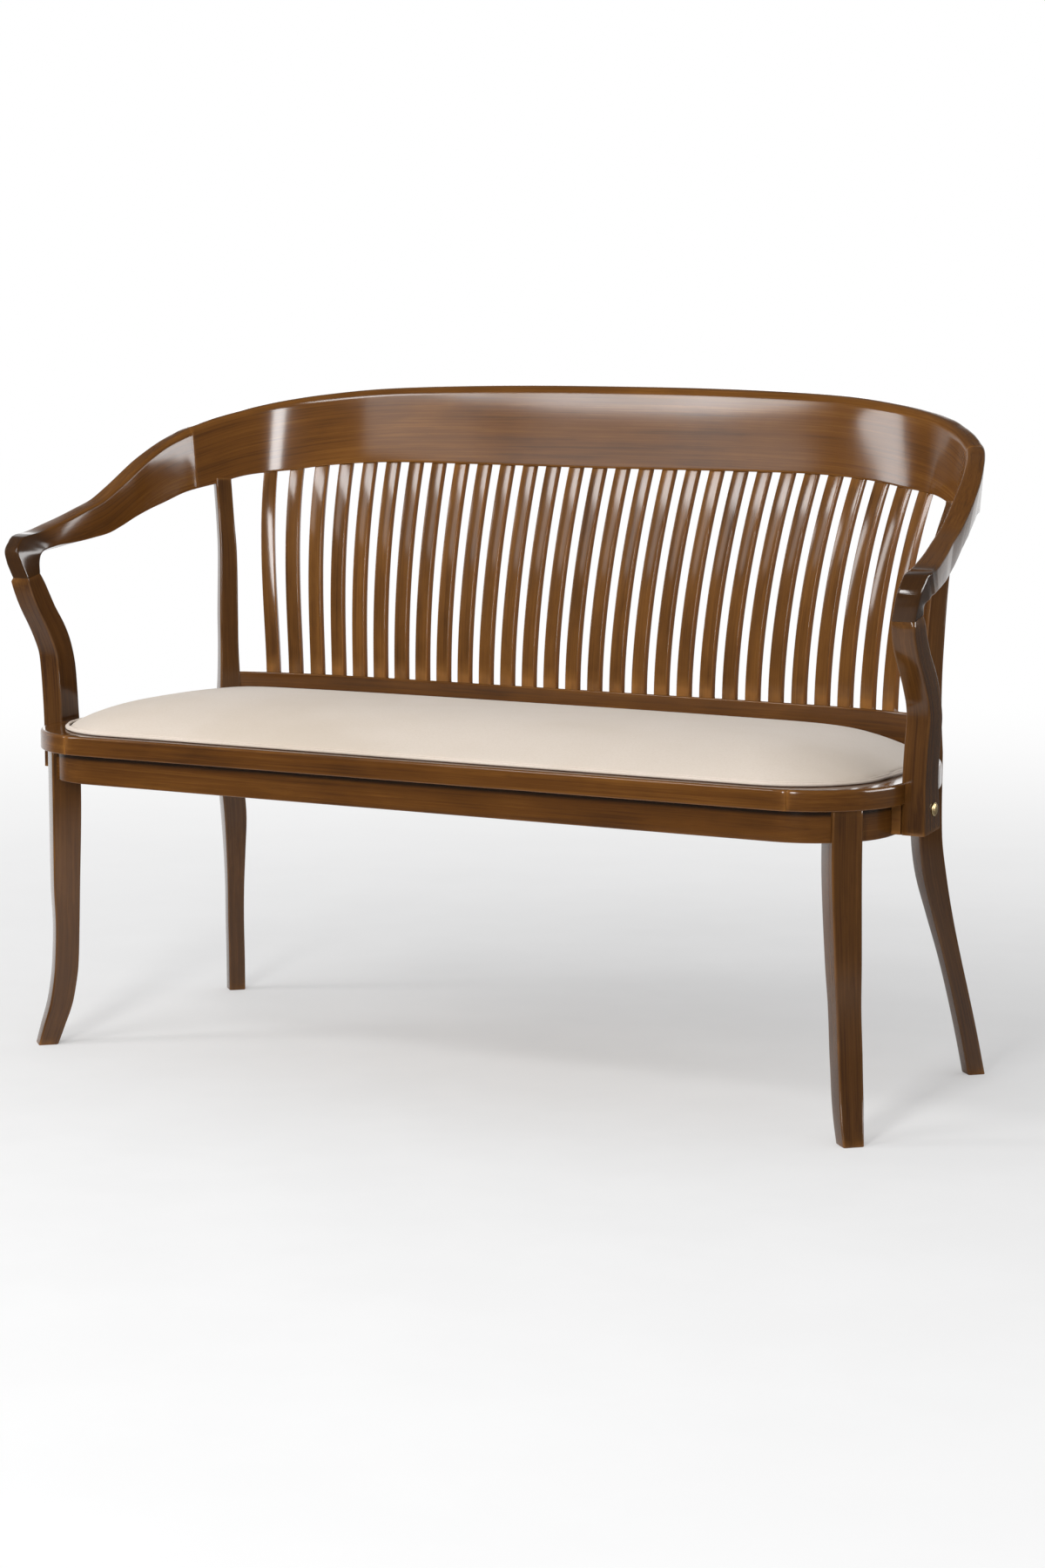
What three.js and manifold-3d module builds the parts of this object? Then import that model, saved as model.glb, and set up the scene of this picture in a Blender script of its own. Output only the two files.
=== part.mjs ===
import * as THREE from 'three';
import { mergeVertices } from 'three/addons/utils/BufferGeometryUtils.js';
import Module from 'manifold-3d';

// A slat-back settee: a bent crest rail that runs on into two arms, 29 slats,
// an upholstered seat on a bent rim, and sabre legs set cornerwise.
// Millimetres. X runs along the seat, Y from its front edge to the back, Z up from the floor.

const wasm = await Module();
wasm.setup();

// Fits
const gap = 0.3;
const overrun = 30;

// Seat rim, the bent board that everything is fixed to
const seatHeight = 400;
const seatHalfWidth = 580;
const seatDepth = 436;
const frontCornerRadius = 115;
const sideTurnsIn = 160;
const rearFlatInset = 180;
const rearCornerShares = [0.42, 0.56];
const cornerSteps = 11;
const rimThickness = 24;
const rimWidth = 60;
const rimEdge = 6;
const frontSeamInset = 93;
const rearSeamInset = 150;

// Seat board, let into a rebate on the rim's inner edge
const boardThickness = 9;
const boardLap = 14;

// Apron under the rim
const apronInset = 16;
const apronThickness = 20;
const apronHeight = 37;

// Pad and its piping
const padFrontInset = 20;
const padSideInset = 34;
const padCornerRadius = 108;
const pipingToRail = 1.1;
const padWall = 3.7;
const padCrown = 36;
const padCrownPower = 3;
const padRidgeInset = 230;
const padRidgeY = 200;
const padRidgeWidth = 12;
const padRings = 8;
const padPoints = 96;
const pipingRadius = 2.8;
const pipingSides = 8;

// Front legs
const frontLegFromCornerX = 16.3;
const frontLegFromCornerY = 24.3;
const frontLegSide = 36;
const frontFootSide = 25;
const frontFootOut = 22;
const frontFootForward = 17;
const legEdge = 3;
const legSteps = 14;

// Rear stiles: each is a rear leg and a back post in one
const stileInset = 83;
const stileFromBack = 56;
const stileSide = 30;
const postSide = 21;
const rearFootSide = 22;
const rearFootOut = 39.5;
const rearFootBack = 68;
const postTopOut = 22.5;
const postTopBack = 24;
const postTopBelowCrest = 26.5;
const stileSteps = 22;

// Arm supports, fixed to the outside of the seat
const supportFrontY = 115.5;
const supportDepth = 47.5;
const supportThickness = 28.5;
const supportLetIn = 4.6;
const supportLean = 7.1;
const supportDrop = 59;
const supportReach = 55;
const supportEdge = 3;
const supportSteps = 16;

// Arms, from the joint on the support to the seam with the crest
const armJointRise = 185;
const armSeamForward = 10.5;
const armSeamDrop = 58;
const armDrawIn = 46.5;
const armLean = 7;
const armThickness = 31;
const armTwist = 18;
const noseThinning = 5.2;
const noseSetBack = 6.5;
const armTopInner = 3;
const armTopOuter = 4;
const railLowEdge = 3;

// Crest rail
const crestThickness = 23;
const crestTopRise = 421;
const crestHeight = 102.5;
const crestBow = 108.5;
const crestLean = 35;
const crestTopInner = 11;
const crestTopOuter = 6;
const railStepsPerRow = 2;

// Lower back rail
const backRailRise = 4;
const backRailHeight = 39.5;
const backRailThickness = 20;
const backRailBow = 38;
const backRailForward = 34;
const backRailPower = 7;
const backRailEndInStile = 5;
const backRailEdge = 2.5;
const backRailSteps = 28;

// Slats
const slatCount = 29;
const slatWidth = 17.8;
const slatDepth = 10.4;
const slatToStile = 57.3;
const slatSpread = 26.5;
const slatSetBack = 3;
const slatFootForward = 2.2;
const slatEdge = 1.2;
const slatSteps = 7;
const slatFanPower = 1.5;
const slatBendPower = 1.75;
const slatBendPowerAtEnds = 2.9;

// Support bolts, their caps and the blocks behind
const boltRadius = 3;
const boltBelowRim = 7;
const boltFromFront = 26.5;
const capRadius = 7.7;
const capHeight = 3;
const boltSides = 16;
const spacerDepth = 45;
const spacerHeight = 34;

// Heights and lines that follow from the sizes above
const rimBottom = seatHeight - rimThickness;
const apronTop = rimBottom - gap;
const apronBottom = apronTop - apronHeight;
const cornerCut = frontCornerRadius * (1 - Math.SQRT1_2);
const frontLegX = seatHalfWidth - cornerCut - frontLegFromCornerX;
const frontLegY = cornerCut + frontLegFromCornerY;
const stileX = seatHalfWidth - stileInset;
const stileY = seatDepth - stileFromBack;
const supportInnerX = seatHalfWidth - supportLetIn + gap;
const supportFoot = seatHeight - supportDrop;
const crestTop = seatHeight + crestTopRise;
const crestUnderside = crestTop - crestHeight;
const postLength = crestUnderside - postTopBelowCrest - seatHeight;
const armInnerX = supportInnerX + supportLean;
const armFrontY = supportFrontY - supportReach;
const armReach = stileY - armSeamForward - armFrontY;
const armJointHeight = seatHeight + armJointRise;
const armRise = crestTopRise - armSeamDrop - armJointRise;
const backRailY = stileY + backRailBow;
const pipingDepth = pipingRadius * 2 + gap;
const boltZ = rimBottom - boltBelowRim;
const backRailTop = seatHeight + backRailRise + backRailHeight;
const slatFootHalf = stileX - slatToStile;

const darkWood = new THREE.MeshStandardMaterial({ color: 0x5a371c, roughness: 0.3, metalness: 0 });
const plainWood = new THREE.MeshStandardMaterial({ color: 0x8a6a45, roughness: 0.7, metalness: 0 });
const creamFabric = new THREE.MeshStandardMaterial({ color: 0xd7cbbe, roughness: 0.9, metalness: 0 });
const agedBrass = new THREE.MeshStandardMaterial({ color: 0x8f7a52, roughness: 0.4, metalness: 1 });

const settee = new THREE.Group();

// Solids and meshes

function toSolid(geometry) {
  const bare = geometry.clone();
  bare.deleteAttribute('normal');
  bare.deleteAttribute('uv');
  const merged = mergeVertices(bare);
  return new wasm.Manifold(new wasm.Mesh({
    numProp: 3,
    vertProperties: new Float32Array(merged.attributes.position.array),
    triVerts: new Uint32Array(merged.index.array),
  }));
}

function toGeometry(solid) {
  const mesh = solid.getMesh();
  const geometry = new THREE.BufferGeometry();
  geometry.setAttribute('position', new THREE.BufferAttribute(new Float32Array(mesh.vertProperties), 3));
  geometry.setIndex(new THREE.BufferAttribute(new Uint32Array(mesh.triVerts), 1));
  return geometry;
}

function addPart(name, geometry, material) {
  const mesh = new THREE.Mesh(geometry, material.clone());
  mesh.name = name;
  settee.add(mesh);
}

function addPair(name, geometry, material) {
  addPart(`${name}_right`, geometry, material);
  addPart(`${name}_left`, mirrored(geometry), material);
}

function turnFaces(geometry) {
  const index = Array.from(geometry.index.array);
  for (let k = 0; k < index.length; k += 3) {
    [index[k + 1], index[k + 2]] = [index[k + 2], index[k + 1]];
  }
  geometry.setIndex(index);
  return geometry;
}

function mirrored(geometry) {
  return turnFaces(geometry.clone().scale(-1, 1, 1));
}

function signedVolume(geometry) {
  const corner = (k) => new THREE.Vector3().fromBufferAttribute(geometry.attributes.position, geometry.index.getX(k));
  let sum = 0;
  for (let k = 0; k < geometry.index.count; k += 3) {
    sum += corner(k).dot(corner(k + 1).cross(corner(k + 2)));
  }
  return sum;
}

// A closed body through rings of points that all hold the same number of points.
// Its ends are flat caps, or its last ring joins its first.
function loft(rings, closed = false) {
  const count = rings[0].length;
  const index = [];
  const bands = closed ? rings.length : rings.length - 1;
  for (let r = 0; r < bands; r += 1) {
    const here = r * count;
    const next = ((r + 1) % rings.length) * count;
    for (let k = 0; k < count; k += 1) {
      const k1 = (k + 1) % count;
      index.push(here + k, here + k1, next + k, here + k1, next + k1, next + k);
    }
  }
  if (!closed) {
    const last = (rings.length - 1) * count;
    cap(rings[0]).forEach(([a, b, c]) => index.push(a, c, b));
    cap(rings[rings.length - 1]).forEach(([a, b, c]) => index.push(last + a, last + b, last + c));
  }
  const geometry = new THREE.BufferGeometry().setFromPoints(rings.flat());
  geometry.setIndex(index);
  return signedVolume(geometry) < 0 ? turnFaces(geometry) : geometry;
}

// Triangles that close a flat ring, in the ring's own direction
function cap(ring) {
  const middle = ring.reduce((sum, p) => sum.add(p), new THREE.Vector3()).divideScalar(ring.length);
  const normal = new THREE.Vector3();
  ring.forEach((p, k) => {
    const q = ring[(k + 1) % ring.length];
    normal.add(p.clone().sub(middle).cross(q.clone().sub(middle)));
  });
  normal.normalize();
  const right = ring[0].clone().sub(middle).normalize();
  const up = normal.clone().cross(right);
  const flat = ring.map((p) => new THREE.Vector2(p.clone().sub(middle).dot(right), p.clone().sub(middle).dot(up)));
  return THREE.ShapeUtils.triangulateShape(flat, []);
}

// Four corners from the first one, reaching along and then across
function corners(first, along, across) {
  const second = first.clone().add(along);
  return [first, second, second.clone().add(across), first.clone().add(across)];
}

// A ring through four corners, each rounded by its cut
function section(points, cuts, pointsPerCorner) {
  return points.flatMap((corner, k) => {
    const before = points[(k + 3) % 4].clone().sub(corner).setLength(cuts[k]).add(corner);
    const after = points[(k + 1) % 4].clone().sub(corner).setLength(cuts[k]).add(corner);
    const round = new THREE.QuadraticBezierCurve3(before, corner, after);
    return round.getPoints(pointsPerCorner - 1);
  });
}

function evenCuts(cut) {
  return [cut, cut, cut, cut];
}

// Upright prism on a closed outline, its long edges rounded by edge
function prism(outline, bottom, height, edge) {
  const geometry = new THREE.ExtrudeGeometry(new THREE.Shape(outline), {
    depth: height - edge * 2,
    bevelEnabled: edge > 0,
    bevelThickness: edge,
    bevelSize: edge,
    bevelOffset: -edge,
    bevelSegments: 2,
  });
  return toSolid(geometry.translate(0, 0, bottom + edge));
}

function block(x0, x1, y0, y1, z0, z1) {
  const geometry = new THREE.BoxGeometry(x1 - x0, y1 - y0, z1 - z0);
  return toSolid(geometry.translate((x0 + x1) / 2, (y0 + y1) / 2, (z0 + z1) / 2));
}

// A smooth curve through rows of numbers, read off at t, where t is in each row's first place
function through(rows, t) {
  const last = rows.length - 1;
  const next = rows.findIndex((row) => row[0] > t);
  const k = next < 0 ? last - 1 : Math.max(next - 1, 0);
  const slope = (i, column) => {
    const before = rows[Math.max(i - 1, 0)];
    const after = rows[Math.min(i + 1, last)];
    return (after[column] - before[column]) / (after[0] - before[0]);
  };
  const span = rows[k + 1][0] - rows[k][0];
  const s = (t - rows[k][0]) / span;
  return rows[k].map((value, column) => {
    const rise = rows[k + 1][column] - value;
    const start = slope(k, column) * span;
    const end = slope(k + 1, column) * span;
    return value + s * (start + s * ((3 * rise - 2 * start - end) + s * (start + end - 2 * rise)));
  });
}

function evenly(steps, make) {
  return Array.from({ length: steps + 1 }, (unused, k) => make(k / steps));
}

// The seat's outline

// Right half of an edge, from its front corner to its back, which is flat in the middle
function edgeRight(halfWidth, front, radius, back) {
  const corner = new THREE.Path();
  corner.absarc(halfWidth - radius, front + radius, radius, -Math.PI / 2, 0);
  const [sideShare, backShare] = rearCornerShares;
  const rearFlatHalf = seatHalfWidth - rearFlatInset;
  const rear = new THREE.CubicBezierCurve(
    new THREE.Vector2(halfWidth, sideTurnsIn),
    new THREE.Vector2(halfWidth, THREE.MathUtils.lerp(sideTurnsIn, back, sideShare)),
    new THREE.Vector2(THREE.MathUtils.lerp(rearFlatHalf, halfWidth, backShare), back),
    new THREE.Vector2(rearFlatHalf, back),
  );
  return [...corner.getPoints(cornerSteps), ...rear.getPoints(cornerSteps)];
}

// A right half and its mirror image, counter-clockwise
function bothHalves(right) {
  return [...right, ...right.map((p) => new THREE.Vector2(-p.x, p.y)).reverse()];
}

// The rim's edge, drawn in by inset
function seatOutline(inset) {
  const all = bothHalves(edgeRight(seatHalfWidth, 0, frontCornerRadius, seatDepth));
  return all.map((p, k) => {
    const before = p.clone().sub(all[(k + all.length - 1) % all.length]).normalize();
    const after = all[(k + 1) % all.length].clone().sub(p).normalize();
    const inward = new THREE.Vector2(-before.y - after.y, before.x + after.x).normalize();
    const slant = inward.dot(new THREE.Vector2(-before.y, before.x));
    return p.clone().addScaledVector(inward, inset / slant);
  });
}

function seatRing(outerInset, innerInset, bottom, height, edge) {
  const outer = prism(seatOutline(outerInset), bottom, height, edge);
  return outer.subtract(prism(seatOutline(innerInset), bottom - overrun, height + overrun * 2, 0));
}

// Legs and stiles

// A square section set cornerwise round an upright line
function cornerwise(x, y, z, side) {
  const half = side / Math.SQRT2;
  const front = new THREE.Vector3(x, y - half, z);
  const right = new THREE.Vector3(half, half, 0);
  const left = new THREE.Vector3(-half, half, 0);
  return section(corners(front, right, left), evenCuts(legEdge), 2);
}

// Share of the leg's height, shares of its foot's way out and forward, share of its swell
const frontLegShares = [
  [0, 1, 1, 0],
  [0.066, 0.76, 0.62, 0.21],
  [0.133, 0.54, 0.18, 0.36],
  [0.2, 0.4, -0.06, 0.4],
  [0.266, 0.3, -0.19, 0.45],
  [0.4, 0.19, -0.2, 0.47],
  [0.533, 0.13, -0.08, 0.73],
  [0.8, 0, 0, 1],
  [1, 0, 0, 1],
];

function frontLeg(swell) {
  return loft(evenly(legSteps, (t) => {
    const [up, out, forward, thick] = through(frontLegShares, t);
    const side = THREE.MathUtils.lerp(frontFootSide, frontLegSide, thick);
    const x = frontLegX + frontFootOut * out;
    const y = frontLegY - frontFootForward * forward;
    return cornerwise(x, y, apronTop * up, side + swell * 2);
  }));
}

// Share of the leg's height, shares of its foot's way out and back, share of its swell
const rearLegShares = [
  [0, 1, 1, 0],
  [0.125, 0.835, 0.853, 0],
  [0.25, 0.658, 0.684, 0],
  [0.375, 0.456, 0.515, 0.1],
  [0.5, 0.243, 0.338, 0.5],
  [0.625, 0.063, 0.17, 1],
  [0.75, 0, 0.03, 1],
  [1, 0, 0, 1],
];

// Share of the post's length, shares of its top's way out and back, share of its thinning
const postShares = [
  [0, 0, 0, 0],
  [0.13, 0.01, 0.01, 0.4],
  [0.27, 0.05, 0.04, 0.65],
  [0.41, 0.09, 0.09, 0.65],
  [0.69, 0.26, 0.36, 0.85],
  [0.83, 0.49, 0.52, 1],
  [1, 1, 1, 1],
];

function rearStile(swell) {
  const leg = evenly(stileSteps / 2, (t) => {
    const [up, out, back, thick] = through(rearLegShares, t);
    const side = THREE.MathUtils.lerp(rearFootSide, stileSide, thick);
    return cornerwise(stileX + rearFootOut * out, stileY + rearFootBack * back, seatHeight * up, side + swell * 2);
  });
  const post = evenly(stileSteps / 2, (t) => {
    const [up, out, back, thin] = through(postShares, t);
    const side = THREE.MathUtils.lerp(stileSide, postSide, thin);
    const z = seatHeight + postLength * up;
    return cornerwise(stileX + postTopOut * out, stileY + postTopBack * back, z, side + swell * 2);
  });
  const above = cornerwise(stileX + postTopOut, stileY + postTopBack, seatHeight + postLength + overrun, postSide);
  return toSolid(loft([...leg, ...post.slice(1), above]));
}

// Top rail: the arms and the crest follow one line, given by its lower and its top inner edge

// Upper edge back, up and drawn in, lower edge the same, lift of the lower outer edge, thickening, nose.
// Shares of the arm's reach, rise, draw in, twist, growth and the nose's set back, from the support's joint.
const armShares = [
  [0, 0, 0.146, 0.089, 0.031, 0, 0, 0.5, 0],
  [-0.0146, 0.101, 0.026, 0.087, 0.101, 0, -0.111, 0.6, 0.1],
  [-0.0233, 0.191, -0.075, 0.095, 0.154, 0.002, -0.444, 0.85, 0.65],
  [-0.001, 0.25, -0.11, 0.113, 0.183, 0.006, -0.611, 1, 1],
  [0.0204, 0.281, -0.101, 0.141, 0.197, 0.019, -0.528, 1, 0.9],
  [0.0631, 0.298, -0.047, 0.176, 0.208, 0.039, -0.583, 0.95, 0.15],
  [0.131, 0.315, 0.006, 0.225, 0.219, 0.069, -0.528, 0.85, 0],
  [0.218, 0.357, 0.065, 0.283, 0.224, 0.114, -0.444, 0.66, 0],
  [0.303, 0.399, 0.14, 0.348, 0.233, 0.168, -0.333, 0.52, 0],
  [0.4, 0.455, 0.232, 0.422, 0.248, 0.232, -0.167, 0.33, 0],
  [0.497, 0.511, 0.318, 0.506, 0.267, 0.301, 0.278, 0.31, 0],
  [0.594, 0.598, 0.383, 0.584, 0.309, 0.361, 0.611, 0.3, 0],
  [0.691, 0.699, 0.469, 0.668, 0.365, 0.432, 0.778, 0.35, 0],
  [0.788, 0.803, 0.555, 0.756, 0.415, 0.512, 1, 0.2, 0],
  [0.885, 0.899, 0.705, 0.85, 0.465, 0.645, 0.944, 0, 0],
  [0.95, 0.955, 0.856, 0.937, 0.519, 0.813, 0.5, 0, 0],
  [1, 1, 1.011, 1.006, 0.553, 1, 0, 0, 0],
];

// Lower edge across, back and down, then the top edge's across, lean and down.
// Shares of the seam's distance from the middle, the crest's bow and lean, and its fall to the seam.
const crestShares = [
  [0.982, 0.111, 0.9, 0.984, -0.029, 0.897],
  [0.962, 0.207, 0.8, 0.966, 0.029, 0.802],
  [0.942, 0.295, 0.671, 0.945, 0.129, 0.716],
  [0.916, 0.396, 0.543, 0.919, 0.214, 0.629],
  [0.886, 0.507, 0.457, 0.888, 0.271, 0.526],
  [0.848, 0.599, 0.391, 0.85, 0.371, 0.431],
  [0.804, 0.677, 0.314, 0.804, 0.486, 0.345],
  [0.746, 0.76, 0.18, 0.744, 0.586, 0.259],
  [0.653, 0.853, 0.043, 0.648, 0.757, 0.155],
  [0.558, 0.912, -0.023, 0.553, 0.829, 0.095],
  [0.373, 0.968, -0.029, 0.368, 0.929, 0.034],
  [0.186, 0.991, -0.014, 0.184, 0.986, 0.005],
  [0, 1, 0, 0, 1, 0],
];

function armRow([topBack, topUp, topIn, lowBack, lowUp, lowIn, twist, thick, nose]) {
  return {
    twist,
    thick,
    nose,
    top: new THREE.Vector3(
      armInnerX + armLean - armDrawIn * topIn,
      armFrontY + armReach * topBack,
      armJointHeight + armRise * topUp,
    ),
    low: new THREE.Vector3(
      armInnerX - armDrawIn * lowIn,
      armFrontY + armReach * lowBack,
      armJointHeight + armRise * lowUp,
    ),
  };
}

const armRows = armShares.map(armRow);
const seam = armRows[armRows.length - 1];

function crestRow([lowAcross, lowBack, lowDown, topAcross, lean, topDown]) {
  const lowY = seam.low.y + crestBow * lowBack;
  return {
    twist: 0,
    thick: 0,
    nose: 0,
    top: new THREE.Vector3(
      seam.top.x * topAcross,
      lowY + crestLean * lean,
      THREE.MathUtils.lerp(crestTop, seam.top.z, topDown),
    ),
    low: new THREE.Vector3(
      seam.low.x * lowAcross,
      lowY,
      THREE.MathUtils.lerp(crestUnderside, seam.low.z, lowDown),
    ),
  };
}

function flipped({ top, low, ...shares }) {
  return {
    ...shares,
    top: new THREE.Vector3(-top.x, top.y, top.z),
    low: new THREE.Vector3(-low.x, low.y, low.z),
  };
}

const rightRows = [...armRows, ...crestShares.map(crestRow)];
const railRows = [...rightRows, ...rightRows.slice(0, -1).reverse().map(flipped)];
const topCurve = new THREE.CatmullRomCurve3(railRows.map((row) => row.top));
const lowCurve = new THREE.CatmullRomCurve3(railRows.map((row) => row.low));
const railEnd = railRows.length - 1;
const seamRow = armRows.length - 1;
const knuckleRows = 6;

// A share from the rows, straight between them: lift of the lower outer edge, thickening or nose
function shareAt(row, name) {
  const before = Math.min(Math.floor(row), railEnd - 1);
  return THREE.MathUtils.lerp(railRows[before][name], railRows[before + 1][name], row - before);
}

// Level direction out of the rail's inner face at a row, which may lie between two rows.
// The knuckle's rows all share the direction at its back.
function outward(row) {
  const held = THREE.MathUtils.clamp(row, knuckleRows, railEnd - knuckleRows);
  const line = lowCurve.getTangent(held / railEnd);
  return new THREE.Vector3(line.y, -line.x, 0).normalize();
}

// Section of the top rail at a row. Spread widens it both ways and sink lowers it.
function railSection(row, spread, sink) {
  const low = lowCurve.getPoint(row / railEnd);
  const top = topCurve.getPoint(row / railEnd);
  const out = outward(row);
  const crestward = Math.min(row, railEnd - row, seamRow) / seamRow;
  const thickness = THREE.MathUtils.lerp(crestThickness, armThickness, shareAt(row, 'thick'));
  const inner = THREE.MathUtils.lerp(armTopInner, crestTopInner, crestward ** 4);
  const outer = THREE.MathUtils.lerp(armTopOuter, crestTopOuter, crestward ** 4);
  const first = low.clone().addScaledVector(out, -spread);
  first.z -= sink;
  const points = corners(first, top.sub(low), out.clone().multiplyScalar(thickness + spread * 2));
  const nose = shareAt(row, 'nose');
  points[2].addScaledVector(out, -noseThinning * nose);
  points[2].y += noseSetBack * nose;
  points[3].z += armTwist * shareAt(row, 'twist');
  return section(points, [railLowEdge, inner, outer, railLowEdge], 3);
}

function railSections(first, last, spread, sink) {
  const steps = (last - first) * railStepsPerRow;
  return evenly(steps, (t) => railSection(THREE.MathUtils.lerp(first, last, t), spread, sink));
}

// A ring moved by the gap along the rail's line
function drawnBack(ring, row, way) {
  const line = lowCurve.getTangent(row / railEnd).multiplyScalar(gap * way);
  return ring.map((p) => p.clone().add(line));
}

function arm() {
  const rings = railSections(0, seamRow, 0, 0);
  rings[rings.length - 1] = drawnBack(rings[rings.length - 1], seamRow, -1);
  return loft(rings);
}

function crest() {
  return loft(railSections(seamRow, railEnd - seamRow, 0, 0));
}

// A wide copy of the crest, lowered by the gap, that trims what stands under it
const crestTrim = toSolid(loft(railSections(seamRow - 1, railEnd - seamRow + 1, overrun, gap)));

// Arm supports and their fixings

// Front edge forward and up, back edge forward and up, share of the lean.
// Shares of the reach forward and of the height from the foot to the joint.
const supportShares = [
  [0, 0, 0, 0, 0.018, 0],
  [0.12, 0, 0.12, 0.064, 0.13, 0],
  [0.24, 0, 0.24, 0.136, 0.245, 0],
  [0.4, 0, 0.4, 0.147, 0.4, 0.25],
  [0.53, 0, 0.53, 0.155, 0.53, 0.58],
  [0.6, 0.05, 0.6, 0.25, 0.615, 0.62],
  [0.66, 0.177, 0.66, 0.39, 0.69, 0.63],
  [0.71, 0.305, 0.71, 0.55, 0.75, 0.65],
  [0.76, 0.452, 0.76, 0.72, 0.8, 0.66],
  [0.81, 0.61, 0.81, 0.86, 0.84, 0.68],
  [0.86, 0.75, 0.86, 1, 0.89, 0.72],
  [0.92, 0.884, 0.92, 1.13, 0.94, 0.8],
  [0.965, 0.955, 0.965, 1.23, 0.98, 0.92],
  [1, 1, 1, 1.364, 1.022, 1],
];

function supportRing(t) {
  const [, forward, up, backForward, backUp, lean] = through(supportShares, t);
  const height = armJointHeight - supportFoot;
  const x = supportInnerX + supportLean * lean;
  const back = supportFrontY + supportDepth;
  const front = new THREE.Vector3(x, supportFrontY - supportReach * forward, supportFoot + height * up);
  const rear = new THREE.Vector3(x, back - supportReach * backForward, supportFoot + height * backUp);
  const across = new THREE.Vector3(supportThickness, 0, 0);
  return section(corners(rear, front.sub(rear), across), evenCuts(supportEdge), 3);
}

// The rim's edge is let into the support's inner face
function support() {
  const rings = evenly(supportSteps, supportRing);
  rings[rings.length - 1] = drawnBack(railSection(0, 0, 0), 0, -1);
  const rimRoom = prism(seatOutline(-gap), rimBottom - gap, rimThickness + gap * 2, rimEdge);
  return toSolid(loft(rings)).subtract(rimRoom);
}

// A round bar along X at the bolt's place
function boltBar(x0, x1, radius) {
  const bar = new THREE.CylinderGeometry(radius, radius, x1 - x0, boltSides);
  bar.rotateZ(Math.PI / 2);
  return bar.translate((x0 + x1) / 2, supportFrontY + boltFromFront, boltZ);
}

function boltHole(x0, x1) {
  return toSolid(boltBar(x0 - overrun, x1 + overrun, boltRadius + gap));
}

function bolt() {
  const face = supportInnerX + supportThickness + gap;
  const end = seatHalfWidth - apronInset - apronThickness;
  const profile = [
    new THREE.Vector2(0, end),
    new THREE.Vector2(boltRadius, end),
    new THREE.Vector2(boltRadius, face),
    new THREE.Vector2(capRadius, face),
    new THREE.Vector2(capRadius, face + capHeight / 3),
    new THREE.Vector2(capRadius * Math.SQRT1_2, face + capHeight - capHeight / 4),
    new THREE.Vector2(0, face + capHeight),
  ];
  const geometry = new THREE.LatheGeometry(profile, boltSides);
  geometry.rotateZ(-Math.PI / 2);
  geometry.translate(0, supportFrontY + boltFromFront, boltZ);
  return toGeometry(toSolid(geometry));
}

function spacer() {
  const inner = seatHalfWidth - apronInset + gap;
  const top = apronTop - gap;
  const outer = supportInnerX - gap;
  const body = block(inner, outer, supportFrontY, supportFrontY + spacerDepth, top - spacerHeight, top);
  return toGeometry(body.subtract(boltHole(inner, outer)));
}

// Lower back rail and slats

function backRailLine(x) {
  return backRailY - backRailForward * (Math.abs(x) / stileX) ** backRailPower;
}

function backRailNormal(x) {
  const slope = (backRailLine(x + gap) - backRailLine(x - gap)) / (gap * 2);
  return new THREE.Vector3(-slope, 1, 0).normalize();
}

function backRail() {
  const end = stileX - backRailEndInStile;
  const rings = evenly(backRailSteps, (t) => {
    const x = THREE.MathUtils.lerp(-end, end, t);
    const out = backRailNormal(x);
    const centre = new THREE.Vector3(x, backRailLine(x), backRailTop - backRailHeight);
    const corner = centre.addScaledVector(out, -backRailThickness / 2);
    const up = new THREE.Vector3(0, 0, backRailHeight);
    const across = out.multiplyScalar(backRailThickness);
    return section(corners(corner, up, across), evenCuts(backRailEdge), 2);
  });
  return toSolid(loft(rings));
}

// Where the crest's inner lower edge lies at x, as a row of the rail
function crestRowAt(x) {
  let near = seamRow;
  let far = railEnd - seamRow;
  while (far - near > gap / crestTop) {
    const middle = (near + far) / 2;
    if (lowCurve.getPoint(middle / railEnd).x > x) near = middle;
    else far = middle;
  }
  return near;
}

function slat(number) {
  const place = (number - (slatCount - 1) / 2) / ((slatCount - 1) / 2);
  const footX = slatFootHalf * place;
  const topX = (slatFootHalf + slatSpread) * place;
  const row = crestRowAt(topX);
  const underside = lowCurve.getPoint(row / railEnd);
  const footOut = backRailNormal(footX);
  const topOut = outward(row);
  const footY = backRailLine(footX) - slatFootForward;
  const topY = underside.y + slatSetBack + slatDepth / 2;
  const bend = THREE.MathUtils.lerp(slatBendPower, slatBendPowerAtEnds, Math.abs(place) ** 3);
  const foot = backRailTop + gap;
  const over = 1 + crestThickness / (underside.z - foot);
  const rings = evenly(slatSteps, (t) => {
    const s = t * over;
    const out = footOut.clone().lerp(topOut, t).normalize();
    const sideways = new THREE.Vector3(out.y, -out.x, 0);
    const corner = new THREE.Vector3(
      THREE.MathUtils.lerp(footX, topX, s ** slatFanPower),
      THREE.MathUtils.lerp(footY, topY, s ** bend),
      THREE.MathUtils.lerp(foot, underside.z, s),
    );
    corner.addScaledVector(sideways, -slatWidth / 2).addScaledVector(out, -slatDepth / 2);
    sideways.multiplyScalar(slatWidth);
    return section(corners(corner, sideways, out.multiplyScalar(slatDepth)), evenCuts(slatEdge), 2);
  });
  return toGeometry(toSolid(loft(rings)).subtract(crestTrim));
}

// Seat

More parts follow.
